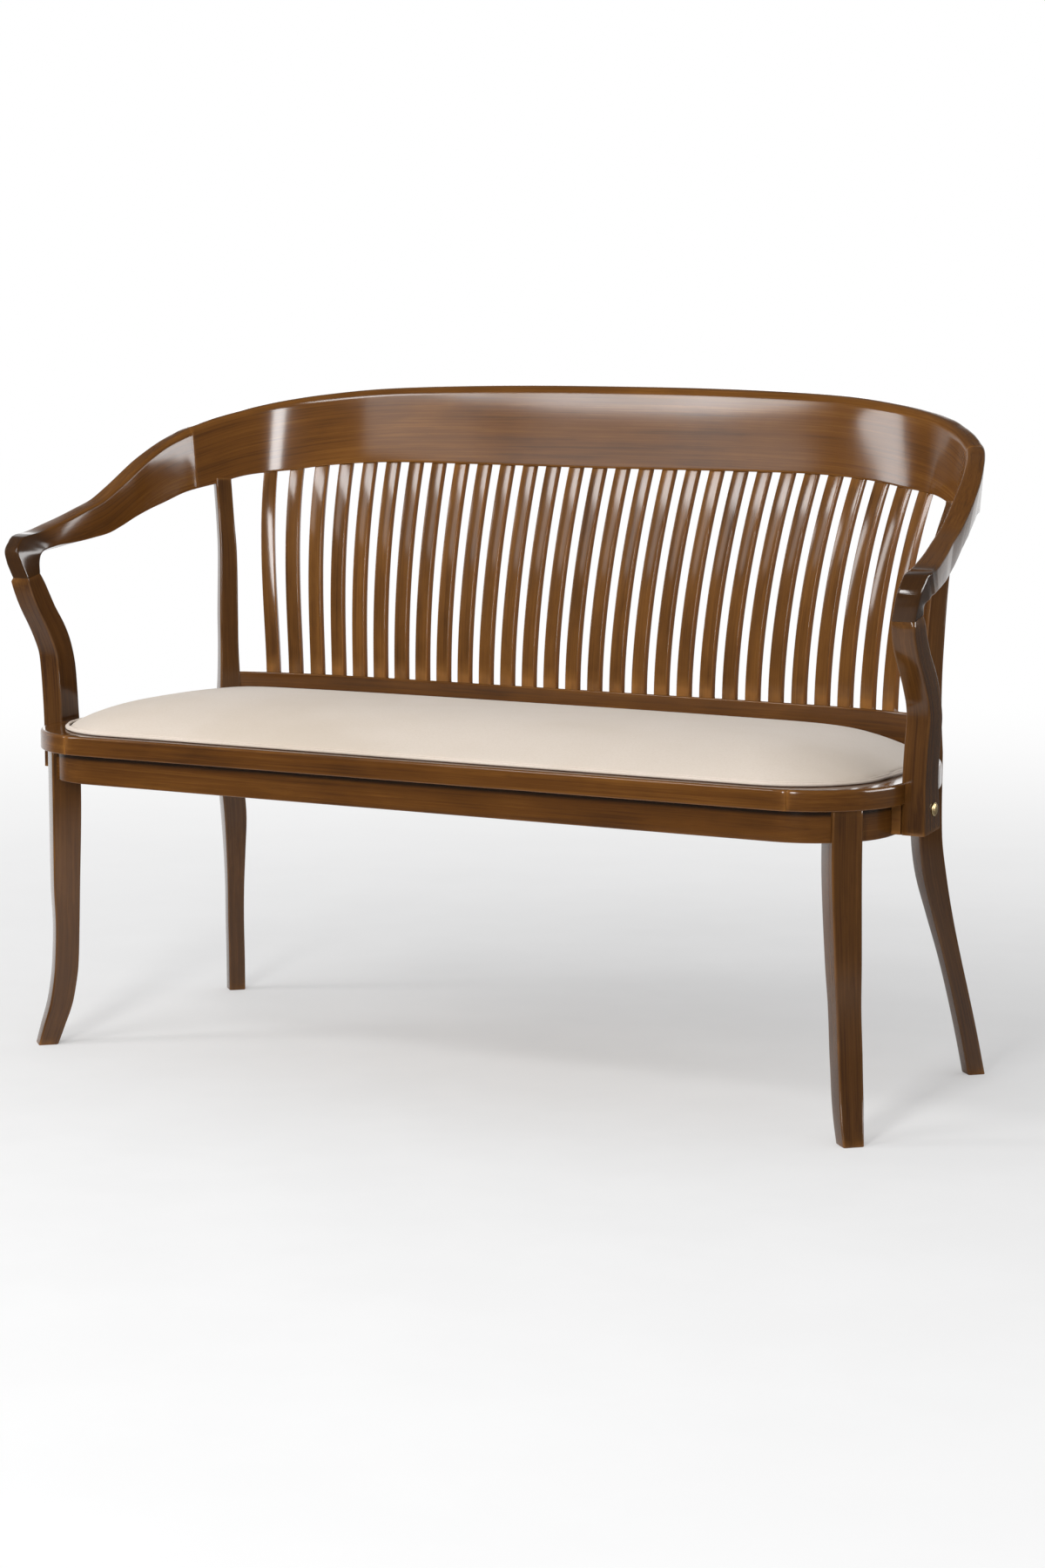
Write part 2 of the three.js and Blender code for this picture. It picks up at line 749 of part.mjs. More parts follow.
// The pad's edge: rounder than the rim's, clear of the back rail and the stiles
function padOutline() {
  const right = edgeRight(seatHalfWidth - padSideInset, padFrontInset, padCornerRadius, seatDepth);
  const shape = new THREE.Shape(bothHalves(right)).closePath();
  const points = shape.getSpacedPoints(padPoints).slice(0, -1);
  const stileReach = stileSide / Math.SQRT2 + (pipingDepth + gap) * Math.SQRT2;
  const cornerLimit = stileX + stileY - stileReach;
  return points.map((p) => {
    const back = backRailLine(p.x) - backRailThickness / 2 - pipingDepth - pipingToRail;
    const y = Math.min(p.y, back);
    const over = Math.max(0, Math.abs(p.x) + y - cornerLimit) / 2;
    return new THREE.Vector2(p.x - Math.sign(p.x) * over, y - over);
  });
}

function pad() {
  const outline = padOutline();
  const bottom = seatHeight + gap;
  const padRidgeHalf = seatHalfWidth - padRidgeInset;
  const rings = [outline.map((p) => new THREE.Vector3(p.x, p.y, bottom))];
  for (let k = 0; k <= padRings; k += 1) {
    const s = k / (padRings + 1);
    const rise = padCrown * (1 - (1 - s) ** padCrownPower);
    rings.push(outline.map((p) => {
      const ridgeX = THREE.MathUtils.clamp(p.x, -padRidgeHalf, padRidgeHalf);
      const ridgeY = padRidgeY + THREE.MathUtils.clamp(p.y - padRidgeY, -padRidgeWidth, padRidgeWidth);
      const x = THREE.MathUtils.lerp(p.x, ridgeX, s);
      return new THREE.Vector3(x, THREE.MathUtils.lerp(p.y, ridgeY, s), bottom + padWall + rise);
    }));
  }
  return loft(rings);
}

// A round cord laid on the rim against the pad's edge
function piping() {
  const outline = padOutline();
  const reach = pipingRadius + gap;
  const rings = outline.map((p, k) => {
    const before = outline[(k + outline.length - 1) % outline.length];
    const after = outline[(k + 1) % outline.length];
    const line = after.clone().sub(before).normalize();
    const out = new THREE.Vector3(line.y, -line.x, 0);
    const centre = new THREE.Vector3(p.x, p.y, seatHeight + reach).addScaledVector(out, reach);
    return Array.from({ length: pipingSides }, (unused, side) => {
      const angle = Math.PI * 2 * side / pipingSides;
      const point = centre.clone().addScaledVector(out, pipingRadius * Math.cos(angle));
      point.z += pipingRadius * Math.sin(angle);
      return point;
    });
  });
  return loft(rings, true);
}

// Seat board on its lap inside the rim
function boardOutline(clearance) {
  return seatOutline(rimWidth - boardLap + clearance);
}

function rim() {
  const rebate = prism(boardOutline(0), seatHeight - boardThickness, boardThickness + overrun, 0);
  return seatRing(0, rimWidth, rimBottom, rimThickness, rimEdge).subtract(rebate);
}

// Put together

const rightLeg = toSolid(frontLeg(gap));
const leftLeg = toSolid(mirrored(frontLeg(gap)));
const rightStileRoom = rearStile(gap);
const leftStileRoom = toSolid(mirrored(toGeometry(rightStileRoom)));

function withoutStiles(solid) {
  return solid.subtract(rightStileRoom).subtract(leftStileRoom);
}

const wide = seatHalfWidth + overrun;
const deep = seatDepth + overrun;
const middleY = seatDepth / 2;

// A ring under the seat, parted by gaps at its front and its rear seams
function addRing(name, ring, frontSeam, rearSeam) {
  const top = seatHeight + overrun;
  const front = (reach) => block(-reach, reach, -overrun, middleY, 0, top);
  const rear = (reach) => block(-reach, reach, middleY, deep, 0, top);
  addPart(`${name}_front`, toGeometry(ring.intersect(front(frontSeam - gap / 2))), darkWood);
  addPart(`${name}_rear`, toGeometry(ring.intersect(rear(rearSeam - gap / 2))), darkWood);
  const sides = ring.subtract(front(frontSeam + gap / 2)).subtract(rear(rearSeam + gap / 2));
  addPair(name, toGeometry(sides.intersect(block(0, wide, -overrun, deep, 0, top))), darkWood);
}

const apronRing = seatRing(apronInset, apronInset + apronThickness, apronBottom, apronHeight, 0);
const rightBoltHole = boltHole(frontLegX, seatHalfWidth);
const leftBoltHole = toSolid(mirrored(toGeometry(rightBoltHole)));
const apron = withoutStiles(apronRing)
  .subtract(rightLeg)
  .subtract(leftLeg)
  .subtract(rightBoltHole)
  .subtract(leftBoltHole);

const rearSeamHalf = seatHalfWidth - rearSeamInset;
addRing('seat_rim', withoutStiles(rim()), seatHalfWidth - frontSeamInset, rearSeamHalf);
addRing('apron', apron, frontLegX, rearSeamHalf);
addPart('seat_board', toGeometry(
  prism(boardOutline(gap), seatHeight - boardThickness + gap, boardThickness - gap, 0),
), plainWood);
addPart('seat_pad', pad(), creamFabric);
addPart('pad_piping', piping(), creamFabric);

addPair('front_leg', frontLeg(0), darkWood);
addPair('rear_stile', toGeometry(rearStile(0).subtract(crestTrim)), darkWood);
addPart('lower_back_rail', toGeometry(withoutStiles(backRail())), darkWood);

addPart('crest_rail', crest(), darkWood);
addPair('arm', arm(), darkWood);
addPair('arm_support', toGeometry(
  support().subtract(boltHole(supportInnerX, supportInnerX + supportThickness)),
), darkWood);
addPair('support_spacer', spacer(), darkWood);
addPair('support_bolt', bolt(), agedBrass);

for (let number = 0; number < slatCount; number += 1) {
  addPart(`slat_${String(number + 1).padStart(2, '0')}`, slat(number), darkWood);
}

// The origin is on the floor under the middle of the whole settee
const size = new THREE.Box3().setFromObject(settee);
settee.position.y = -(size.min.y + size.max.y) / 2;

export default settee;
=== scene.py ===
# %% [markdown]
# # A bentwood settee
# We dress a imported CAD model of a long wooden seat: a crest rail that bends forward
# into two arms, a row of slats, an upholstered seat on an oval rim, and four curved legs.
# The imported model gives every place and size. What we add here is what makes it look real:
# rounded edges, grain that follows each board, lacquer, cloth and a little wear.

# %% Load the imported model
import math

import bpy
import numpy as np
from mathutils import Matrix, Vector


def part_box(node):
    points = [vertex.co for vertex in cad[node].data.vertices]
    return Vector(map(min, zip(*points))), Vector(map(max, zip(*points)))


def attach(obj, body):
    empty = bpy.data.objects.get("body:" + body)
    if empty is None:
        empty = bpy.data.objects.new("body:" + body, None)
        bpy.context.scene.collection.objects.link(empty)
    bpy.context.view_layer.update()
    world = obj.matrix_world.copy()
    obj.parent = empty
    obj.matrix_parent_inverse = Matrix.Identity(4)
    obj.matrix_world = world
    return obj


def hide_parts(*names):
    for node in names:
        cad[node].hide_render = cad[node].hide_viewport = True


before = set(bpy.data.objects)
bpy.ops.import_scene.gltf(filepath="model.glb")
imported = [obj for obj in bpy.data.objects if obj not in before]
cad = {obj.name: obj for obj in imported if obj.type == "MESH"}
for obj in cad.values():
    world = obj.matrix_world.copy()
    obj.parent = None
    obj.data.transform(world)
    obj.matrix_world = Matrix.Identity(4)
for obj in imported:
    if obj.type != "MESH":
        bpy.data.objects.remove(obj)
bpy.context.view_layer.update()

# %% [markdown]
# ## The camera
# The photo was taken from the right, a little above the arms, with a fairly long lens.
# Its place was solved from pairs of points that mirror each other on the left and right
# of the settee. We write that answer down as a place, a turn, a tilt and a lens.

# %% Camera
camera_data = bpy.data.cameras.new("photo_camera")
camera_data.lens = 80.68
camera_data.sensor_width = 36
camera_data.clip_end = 60
camera = bpy.data.objects.new("photo_camera", camera_data)
camera.location = (2.082, -3.744, 0.947)
camera.rotation_euler = (math.radians(90 - 8.06), 0, math.radians(28.97))
bpy.context.scene.collection.objects.link(camera)
bpy.context.scene.camera = camera
print("camera at", tuple(round(c, 2) for c in camera.location))

# %% [markdown]
# ## Drawing in millimetres
# A joiner measures from the front edge of the seat, so the tables below do too:
# x along the seat, y from its front edge to the back, z up from the floor, in millimetres.
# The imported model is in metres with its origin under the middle, so one function turns
# our points into the model's.

# %% Units and small helpers
front_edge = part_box("seat_rim_front")[0].y


def to_model(points):
    """Points in millimetres from the seat's front edge, as metres in the model."""
    return np.asarray(points, float) * 0.001 + np.array([0, front_edge, 0])


def mix(a, b, share):
    return a + (b - a) * share


def unit(vector):
    return vector / np.linalg.norm(vector)


def through(rows, t):
    """A smooth line through rows of numbers, read at t, where each row starts with its own t."""
    rows = np.asarray(rows, float)
    last = len(rows) - 1
    k = int(np.clip(np.searchsorted(rows[:, 0], t, side="right") - 1, 0, last - 1))

    def slope(i):
        low, high = max(i - 1, 0), min(i + 1, last)
        return (rows[high] - rows[low]) / (rows[high, 0] - rows[low, 0])

    span = rows[k + 1, 0] - rows[k, 0]
    s = (t - rows[k, 0]) / span
    rise = rows[k + 1] - rows[k]
    start, end = slope(k) * span, slope(k + 1) * span
    return rows[k] + s * (start + s * ((3 * rise - 2 * start - end) + s * (start + end - 2 * rise)))


print("front edge of the seat lies at y =", round(front_edge, 4))

# %% [markdown]
# ## One way to make every stick
# Each wooden piece here is a stick: a four-sided section that changes as it runs along.
# So one function rounds the section's corners, and another skins a row of sections.
# Along the way we note for every point how far along the board it is and where in the
# board's width and thickness. The wood material reads that note, so the grain follows
# the bend of each piece, as it does in steam-bent wood.

# %% Sections and skins
def rounded(corners, cuts, steps=5):
    """Four corners, each replaced by a small curve that starts its cut away from the corner."""
    ring = []
    for k, corner in enumerate(corners):
        before = corner + unit(corners[k - 1] - corner) * cuts[k]
        after = corner + unit(corners[(k + 1) % 4] - corner) * cuts[k]
        for s in np.linspace(0, 1, steps):
            ring.append((1 - s) ** 2 * before + 2 * s * (1 - s) * corner + s * s * after)
    return np.array(ring)


def four(first, along, across):
    return [first, first + along, first + along + across, first + across]


board_number = 0


def skin(name, rings, closed=False, end_round=0.8, sharp=35):
    """A piece through rings of points, with its ends rounded off and its grain noted."""
    global board_number
    board_number += 1
    rings = [np.asarray(r, float) for r in rings]
    if not closed and end_round > 0:
        rings = rounded_end(rings, end_round)
        rings = rounded_end(rings[::-1], end_round)[::-1]
    rings = np.array(rings)
    rows, count = rings.shape[:2]
    bands = rows if closed else rows - 1
    faces = []
    for r in range(bands):
        here, there = r * count, ((r + 1) % rows) * count
        for k in range(count):
            k1 = (k + 1) % count
            faces.append((here + k, here + k1, there + k1, there + k))
    if not closed:
        faces.append(tuple(range(count))[::-1])
        faces.append(tuple((rows - 1) * count + k for k in range(count)))
    mesh = bpy.data.meshes.new(name)
    mesh.from_pydata(to_model(rings.reshape(-1, 3)).tolist(), [], faces)
    mesh.update()
    if signed_volume(mesh) < 0:
        mesh.flip_normals()
    note_grain(mesh, rings, board_number)
    mesh.polygons.foreach_set("use_smooth", [True] * len(mesh.polygons))
    mesh.set_sharp_from_angle(angle=math.radians(sharp))
    piece = bpy.data.objects.new(name, mesh)
    bpy.context.scene.collection.objects.link(piece)
    return piece


def rounded_end(rings, cut):
    """The first ring drawn in a little, so that the end's edge is broken as with sandpaper."""
    first, second = rings[0], rings[1]
    middle = first.mean(0)
    step = unit(second.mean(0) - middle)
    reach = np.linalg.norm(first - middle, axis=1, keepdims=True)
    face = middle + (first - middle) * (1 - cut / reach)
    bevel = middle + (first - middle) * (1 - 0.3 * cut / reach) + step * 0.3 * cut
    edge = first + step * cut
    return [face, bevel, edge] + list(rings[1:])


def signed_volume(mesh):
    mesh.calc_loop_triangles()
    points = np.empty(len(mesh.vertices) * 3)
    mesh.vertices.foreach_get("co", points)
    points = points.reshape(-1, 3)
    tris = np.array([t.vertices[:] for t in mesh.loop_triangles])
    a, b, c = points[tris[:, 0]], points[tris[:, 1]], points[tris[:, 2]]
    return float(np.einsum("ij,ij->", a, np.cross(b, c)))


def note_grain(mesh, rings, number):
    """Stores on each point how far along, across and through its board it lies, in metres."""
    middles = rings.mean(1)
    along = np.concatenate([[0], np.cumsum(np.linalg.norm(np.diff(middles, axis=0), axis=1))])
    count = rings.shape[1]
    quarter = count // 4
    across = rings[:, quarter] - rings[:, 0]
    across /= np.linalg.norm(across, axis=1, keepdims=True)
    deep = rings[:, -1] - rings[:, 0]
    deep -= across * np.einsum("ij,ij->i", deep, across)[:, None]
    deep /= np.maximum(np.linalg.norm(deep, axis=1, keepdims=True), 1e-6)
    away = rings - middles[:, None]
    note = np.stack([
        np.repeat(along[:, None], count, 1),
        np.einsum("rkj,rj->rk", away, across),
        np.einsum("rkj,rj->rk", away, deep),
    ], -1).reshape(-1, 3) * 0.001
    note += np.array([number * 1.618 % 7, number * 0.377 % 1, number * 0.213 % 1])
    layer = mesh.attributes.new("board", "FLOAT_VECTOR", "POINT")
    layer.data.foreach_set("vector", note.astype(np.float32).ravel())


pieces = {}


def fit(piece, nodes, material):
    """Puts a finished piece in the place of its CAD nodes."""
    piece.data.materials.clear()
    piece.data.materials.append(material)
    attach(piece, "root")
    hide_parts(*nodes)
    pieces[piece.name] = piece
    return piece


def flipped(rings):
    """The same rings on the left-hand side."""
    return [np.asarray(ring) * np.array([-1, 1, 1]) for ring in rings]


print("ready to make sticks")

# %% [markdown]
# ## Small tools for materials
# Materials are built from nodes. Two short helpers keep the cells readable: one adds a
# node and sets its values, the other opens a group with named sockets.

# %% Node helpers
def add(tree, kind, x=0, y=0, inputs=None, **settings):
    made = tree.nodes.new(kind)
    made.location = (x, y)
    for key, value in settings.items():
        setattr(made, key, value)
    for key, value in (inputs or {}).items():
        if isinstance(value, bpy.types.NodeSocket):
            tree.links.new(value, made.inputs[key])
        else:
            made.inputs[key].default_value = value
    return made


def group(name, takes, gives):
    tree = bpy.data.node_groups.new(name, "ShaderNodeTree")
    for label, kind, value in takes:
        socket = tree.interface.new_socket(label, in_out="INPUT", socket_type=kind)
        if value is not None:
            socket.default_value = value
    for label, kind in gives:
        tree.interface.new_socket(label, in_out="OUTPUT", socket_type=kind)
    return tree, add(tree, "NodeGroupInput", -1400), add(tree, "NodeGroupOutput", 900)


def use(tree, group_tree, x=0, y=0, inputs=None):
    made = add(tree, "ShaderNodeGroup", x, y)
    made.node_tree = group_tree
    for key, value in (inputs or {}).items():
        if isinstance(value, bpy.types.NodeSocket):
            tree.links.new(value, made.inputs[key])
        else:
            made.inputs[key].default_value = value
    return made


def stretched_noise(tree, place, scale, detail, x, y, rough=0.55, bent=0.0):
    """Noise drawn out along the board: scale is how many spots to the metre each way."""
    drawn = add(tree, "ShaderNodeMapping", x - 200, y, {"Vector": place, "Scale": scale})
    return add(tree, "ShaderNodeTexNoise", x, y, {
        "Vector": drawn.outputs[0], "Scale": 1.0, "Detail": detail, "Roughness": rough, "Distortion": bent,
    }).outputs["Fac"]


def spread(tree, value, low, high, x, y, to_low=0.0, to_high=1.0):
    """Stretches a narrow band of values over the whole range."""
    return add(tree, "ShaderNodeMapRange", x, y, {
        "Value": value, "From Min": low, "From Max": high, "To Min": to_low, "To Max": to_high,
    }, clamp=True, interpolation_type="SMOOTHSTEP").outputs[0]


def blend_colour(tree, factor, first, second, x, y, kind="MIX"):
    made = add(tree, "ShaderNodeMix", x, y, data_type="RGBA", blend_type=kind)
    for socket, value in zip((made.inputs[0], made.inputs[6], made.inputs[7]), (factor, first, second)):
        if isinstance(value, bpy.types.NodeSocket):
            tree.links.new(value, socket)
        else:
            socket.default_value = value
    return made.outputs[2]


def sums(tree, kind, a, b, x, y):
    made = add(tree, "ShaderNodeMath", x, y, operation=kind)
    for socket, value in zip(made.inputs, (a, b)):
        if isinstance(value, bpy.types.NodeSocket):
            tree.links.new(value, socket)
        else:
            socket.default_value = value
    return made.outputs[0]


print("node helpers ready")

# %% [markdown]
# ## Grain
# The photo shows a close-grained hardwood under golden-brown stain. From a step away it is
# nearly even: slow cloudy changes of tone, fine streaks a few millimetres apart and short
# dark pores. Each is noise, drawn out along the board by a different amount. The group
# gives a colour, a height for the bump, and the streaks alone for other uses.

# %% Grain group
grain, taken, given = group("wood grain", [
    ("Board", "NodeSocketVector", None),
    ("Deep", "NodeSocketColor", (0.05, 0.02, 0.008, 1)),
    ("Body", "NodeSocketColor", (0.14, 0.06, 0.02, 1)),
    ("Pale", "NodeSocketColor", (0.3, 0.14, 0.045, 1)),
], [("Colour", "NodeSocketColor"), ("Height", "NodeSocketFloat"), ("Streak", "NodeSocketFloat")])
place = taken.outputs["Board"]
clouds = stretched_noise(grain, place, (5, 14, 14), 3, -900, 550, bent=0.4)
bands = stretched_noise(grain, place, (2.2, 120, 120), 3, -900, 300, bent=0.3)
streaks = stretched_noise(grain, place, (7, 520, 520), 3, -900, 50)
fibres = stretched_noise(grain, place, (22, 1500, 1500), 2, -900, -200)
pores = stretched_noise(grain, place, (45, 1300, 1300), 1, -900, -450)
parts = [(clouds, 0.34, 550), (bands, 0.26, 300), (streaks, 0.3, 50), (fibres, 0.1, -200)]
first_two = [sums(grain, "MULTIPLY", part, share, -600, y) for part, share, y in parts[:2]]
figure = sums(grain, "ADD", *first_two, -400, 400)
for part, share, y in parts[2:]:
    figure = sums(grain, "ADD", figure, sums(grain, "MULTIPLY", part, share, -600, y), -200, y)
to_body = spread(grain, figure, 0.38, 0.5, 0, 300)
lower = blend_colour(grain, to_body, taken.outputs["Deep"], taken.outputs["Body"], 200, 300)
to_pale = spread(grain, figure, 0.49, 0.64, 0, 50)
upper = blend_colour(grain, to_pale, lower, taken.outputs["Pale"], 400, 200)
pitted = spread(grain, pores, 0.62, 0.74, -600, -450)
pore_share = sums(grain, "MULTIPLY", pitted, 0.45, -300, -450)
dark_pores = blend_colour(grain, pore_share, upper, taken.outputs["Deep"], 600, 100)
raised = sums(grain, "SUBTRACT", sums(grain, "MULTIPLY", fibres, 0.5, -300, -200), pitted, 0, -300)
grain.links.new(dark_pores, given.inputs["Colour"])
grain.links.new(raised, given.inputs["Height"])
grain.links.new(figure, given.inputs["Streak"])
print("grain group has", len(grain.nodes), "nodes")

# %% [markdown]
# ## Wear
# Hands and sleeves rub the lacquer and stain off the edges first, so edges are paler and
# more orange. Corners that stay untouched hold a little dark wax. The Geometry node's
# Pointiness tells edges from hollows, and noise breaks both up.

# %% Wear group
wear, taken, given = group("edge wear", [
    ("Place", "NodeSocketVector", None),
    ("Base", "NodeSocketColor", (0.1, 0.05, 0.02, 1)),
    ("Rubbed", "NodeSocketColor", (0.4, 0.2, 0.07, 1)),
    ("Waxed", "NodeSocketColor", (0.02, 0.01, 0.005, 1)),
    ("Rubbing", "NodeSocketFloat", 0.5),
], [("Colour", "NodeSocketColor"), ("Rubbed Off", "NodeSocketFloat")])
sharpness = add(wear, "ShaderNodeNewGeometry", -1200, 200).outputs["Pointiness"]
patches = stretched_noise(wear, taken.outputs["Place"], (14, 30, 30), 3, -1000, -100)
uneven = spread(wear, patches, 0.35, 0.65, -750, -100, 0.35, 1.0)
edges = spread(wear, sharpness, 0.505, 0.56, -750, 200)
hollows = spread(wear, sharpness, 0.495, 0.45, -750, 0)
uneven_edges = sums(wear, "MULTIPLY", edges, uneven, -500, 150)
rubbed = sums(wear, "MULTIPLY", uneven_edges, taken.outputs["Rubbing"], -300, 150)
lighter = blend_colour(wear, rubbed, taken.outputs["Base"], taken.outputs["Rubbed"], 0, 150)
wax_share = sums(wear, "MULTIPLY", hollows, 0.6, -300, 0)
waxed = blend_colour(wear, wax_share, lighter, taken.outputs["Waxed"], 250, 100)
wear.links.new(waxed, given.inputs["Colour"])
wear.links.new(rubbed, given.inputs["Rubbed Off"])
print("wear group has", len(wear.nodes), "nodes")

# %% [markdown]
# ## Stained wood under gloss lacquer
# The wood itself is matt. The shine is a clear layer on top, so the lacquer is the
# shader's coat and the wood under it has almost no gloss of its own: where lacquer lies
# on wood there is hardly a second reflection. Rubbed edges lose some of the coat. The
# stain took unevenly, so each group of sticks has its own three tones.
# Three tones are painted by place or side. The front of the arms is painted darker.
# The top few millimetres of the apron are painted nearly black: painted shade for the dark
# line under the rim's overhang. The slats' right-hand sides, the ones that the photo shows,
# are painted orange as painted light falling on that side; their left-hand sides are left plain.

# %% Stained wood
def object_axes(tree, output):
    """The three numbers of a point's own place, or of its own direction, on the object."""
    source = add(tree, "ShaderNodeTexCoord", -1100, 500).outputs[output]
    return add(tree, "ShaderNodeSeparateXYZ", -900, 500, {"Vector": source}).outputs


def stained_wood(
    name, deep, body, pale, rubbing=0.5, coordinates="board", darker_arm_fronts=False, painted_shade_under_rim=False, painted_lit_side=None
):
    material = bpy.data.materials.new(name)
    material.use_nodes = True
    tree = material.node_tree
    shader = tree.nodes["Principled BSDF"]
    if coordinates == "board":
        where = add(tree, "ShaderNodeAttribute", -1200, 0, attribute_name="board").outputs["Vector"]
    else:
        where = add(tree, "ShaderNodeTexCoord", -1200, 0).outputs["Object"]
    wood = use(tree, grain, -900, 100, {"Board": where, "Deep": deep, "Body": body, "Pale": pale})
    worn = use(tree, wear, -600, 100, {
        "Place": where, "Base": wood.outputs["Colour"], "Rubbing": rubbing,
        "Rubbed": (0.4, 0.17, 0.04, 1), "Waxed": (0.012, 0.005, 0.002, 1),
    })
    smudges = stretched_noise(tree, where, (9, 22, 22), 3, -600, -250)
    colour = worn.outputs["Colour"]
    # The arms are painted darker towards their front ends.
    if darker_arm_fronts:
        unevenness = sums(tree, "MULTIPLY", smudges, 0.05, -700, 650)
        uneven_front = sums(tree, "ADD", object_axes(tree, "Object")[1], unevenness, -500, 600)
        dark = spread(tree, uneven_front, -0.115, -0.155, -350, 500, 0.0, 0.8)
        colour = blend_colour(tree, dark, colour, (0.028, 0.012, 0.004, 1), -150, 400)
    # Painted shade: the apron's top, under the rim's overhang, is painted nearly black.
    if painted_shade_under_rim:
        painted_shade_mask = spread(tree, object_axes(tree, "Object")[2], 0.3665, 0.3715, -350, 500, 0.0, 0.88)
        colour = blend_colour(tree, painted_shade_mask, colour, (0.012, 0.006, 0.002, 1), -150, 400)
    # Painted light: faces turned to the right (object normal x) get a paler orange, as if lit on that side.
    if painted_lit_side:
        side = spread(tree, object_axes(tree, "Normal")[0], 0.62, 0.82, -350, 500, 0.0, 0.8)
        colour = blend_colour(tree, side, colour, painted_lit_side, -150, 400)
    tree.links.new(colour, shader.inputs["Base Color"])
    tree.links.new(spread(tree, smudges, 0.3, 0.7, -350, -250, 0.42, 0.56), shader.inputs["Roughness"])
    coat = spread(tree, worn.outputs["Rubbed Off"], 0.0, 0.6, -350, -450, 1.0, 0.45)
    tree.links.new(coat, shader.inputs["Coat Weight"])
    shader.inputs["Coat Roughness"].default_value = 0.13
    shader.inputs["Coat IOR"].default_value = 1.5
    shader.inputs["Specular IOR Level"].default_value = 0.02
    bump = add(tree, "ShaderNodeBump", -200, -600, {
        "Height": wood.outputs["Height"], "Strength": 0.1, "Distance": 0.0004,
    })
    tree.links.new(bump.outputs[0], shader.inputs["Normal"])
    return material


rail_tones = (0.074, 0.026, 0.004, 1), (0.122, 0.044, 0.006, 1), (0.185, 0.073, 0.012, 1)
rail_wood = stained_wood("stained rail wood", *rail_tones)
arm_wood = stained_wood("stained arm wood", *rail_tones, darker_arm_fronts=True)
rim_tones = (0.055, 0.019, 0.003, 1), (0.095, 0.033, 0.004, 1), (0.145, 0.055, 0.008, 1)
rim_wood = stained_wood("stained rim wood", *rim_tones)
# The apron's top carries painted shade for the dark line under the rim.
apron_wood = stained_wood("stained apron wood", *rim_tones, painted_shade_under_rim=True)
leg_tones = (0.044, 0.016, 0.004, 1), (0.078, 0.03, 0.006, 1), (0.12, 0.048, 0.011, 1)
leg_wood = stained_wood("stained leg wood", *leg_tones)
slat_tones = (0.058, 0.021, 0.004, 1), (0.105, 0.04, 0.007, 1), (0.175, 0.07, 0.013, 1)
# The slats' right-hand sides carry painted light in orange.
slat_wood = stained_wood("stained slat wood", *slat_tones, painted_lit_side=(0.36, 0.135, 0.026, 1))
block_tones = (0.04, 0.016, 0.005, 1), (0.08, 0.032, 0.01, 1), (0.12, 0.05, 0.015, 1)
block_wood = stained_wood("stained block wood", *block_tones, coordinates="object")
print("seven stained woods")

# %% [markdown]
# ## The top rail's table
# Arms and crest follow one line. For each station the table gives the top inner edge and
# the lower inner edge, then how far the lower outer edge lifts, and the thickness.
# The last number marks the arm's nose, where the outer top edge is rubbed back and down
# by the hand. The table starts at the arm's joint on its support, and the seam with the
# crest is its last row. The crest's own table then runs to the middle.

# %% Rail tables
ARM_ROWS = [
    # top y, top z, top x, low y, low z, low x, lift, thickness, nose
    (60.5, 585, 583, 88, 590.5, 582.8, 0, 27, 0),
    (56, 603, 588.6, 87.4, 603, 582.8, -2, 27.8, 0.1),
    (53.3, 619, 593.3, 89.9, 612.4, 582.7, -8, 29.8, 0.65),
    (60.2, 629.5, 594.9, 95.4, 617.6, 582.5, -11, 31, 1),
    (66.8, 635, 594.5, 104.1, 620.1, 581.9, -9.5, 31, 0.9),
    (80, 638, 592, 114.9, 622, 581, -10.5, 30.6, 0.15),
    (101, 641.1, 589.5, 130, 624, 579.6, -9.5, 29.8, 0),
    (127.9, 648.5, 586.8, 147.9, 624.9, 577.5, -8, 28.3, 0),
    (154.1, 656, 583.3, 168, 626.5, 575, -6, 27.2, 0),
    (184.1, 666, 579, 190.9, 629.1, 572, -3, 25.6, 0),
    (214.1, 676, 575, 216.9, 632.5, 568.8, 5, 25.5, 0),
    (244, 691.4, 572, 241, 640, 566, 11, 25.4, 0),
    (274, 709.4, 568, 266.9, 650, 562.7, 14, 25.8, 0),
    (304, 727.9, 564, 294.1, 658.9, 559, 18, 24.6, 0),
    (334, 745, 557, 323.1, 667.8, 552.8, 17, 23, 0),
    (354.1, 755, 550, 350, 677.4, 545, 9, 23, 0),
    (369.5, 763, 542.8, 371.4, 683.4, 536.3, 0, 23, 0),
]
CREST_ROWS = [
    # low x, low y, low z, top x, top y, top z
    (526.5, 383.5, 687, 534, 382.5, 769),
    (516, 394, 690.5, 524.5, 395, 774.5),
    (505, 403.5, 695, 513, 408, 779.5),
    (491, 414.5, 699.5, 499, 422, 784.5),
    (475, 426.5, 702.5, 482, 436, 790.5),
    (455, 436.5, 704.8, 461.5, 449.5, 796),
    (431, 445, 707.5, 436.5, 462, 801),
    (400, 454, 712.2, 404, 474.5, 806),
    (350, 464, 717, 352, 490.5, 812),
    (299, 470.5, 719.3, 300, 499.5, 815.5),
    (200, 476.5, 719.5, 200, 509, 819),
    (100, 479, 719, 100, 513.5, 820.7),
    (0, 480, 718.5, 0, 515, 821),
]
right_rows = [((tx, ty, tz), (lx, ly, lz), *rest) for ty, tz, tx, ly, lz, lx, *rest in ARM_ROWS]
right_rows += [((tx, ty, tz), (lx, ly, lz), 0, 23, 0) for lx, ly, lz, tx, ty, tz in CREST_ROWS]
left_rows = [((-t[0], t[1], t[2]), (-l[0], l[1], l[2]), *rest) for t, l, *rest in right_rows[-2::-1]]
rail_rows = right_rows + left_rows
top_line = np.array([row[0] for row in rail_rows], float)
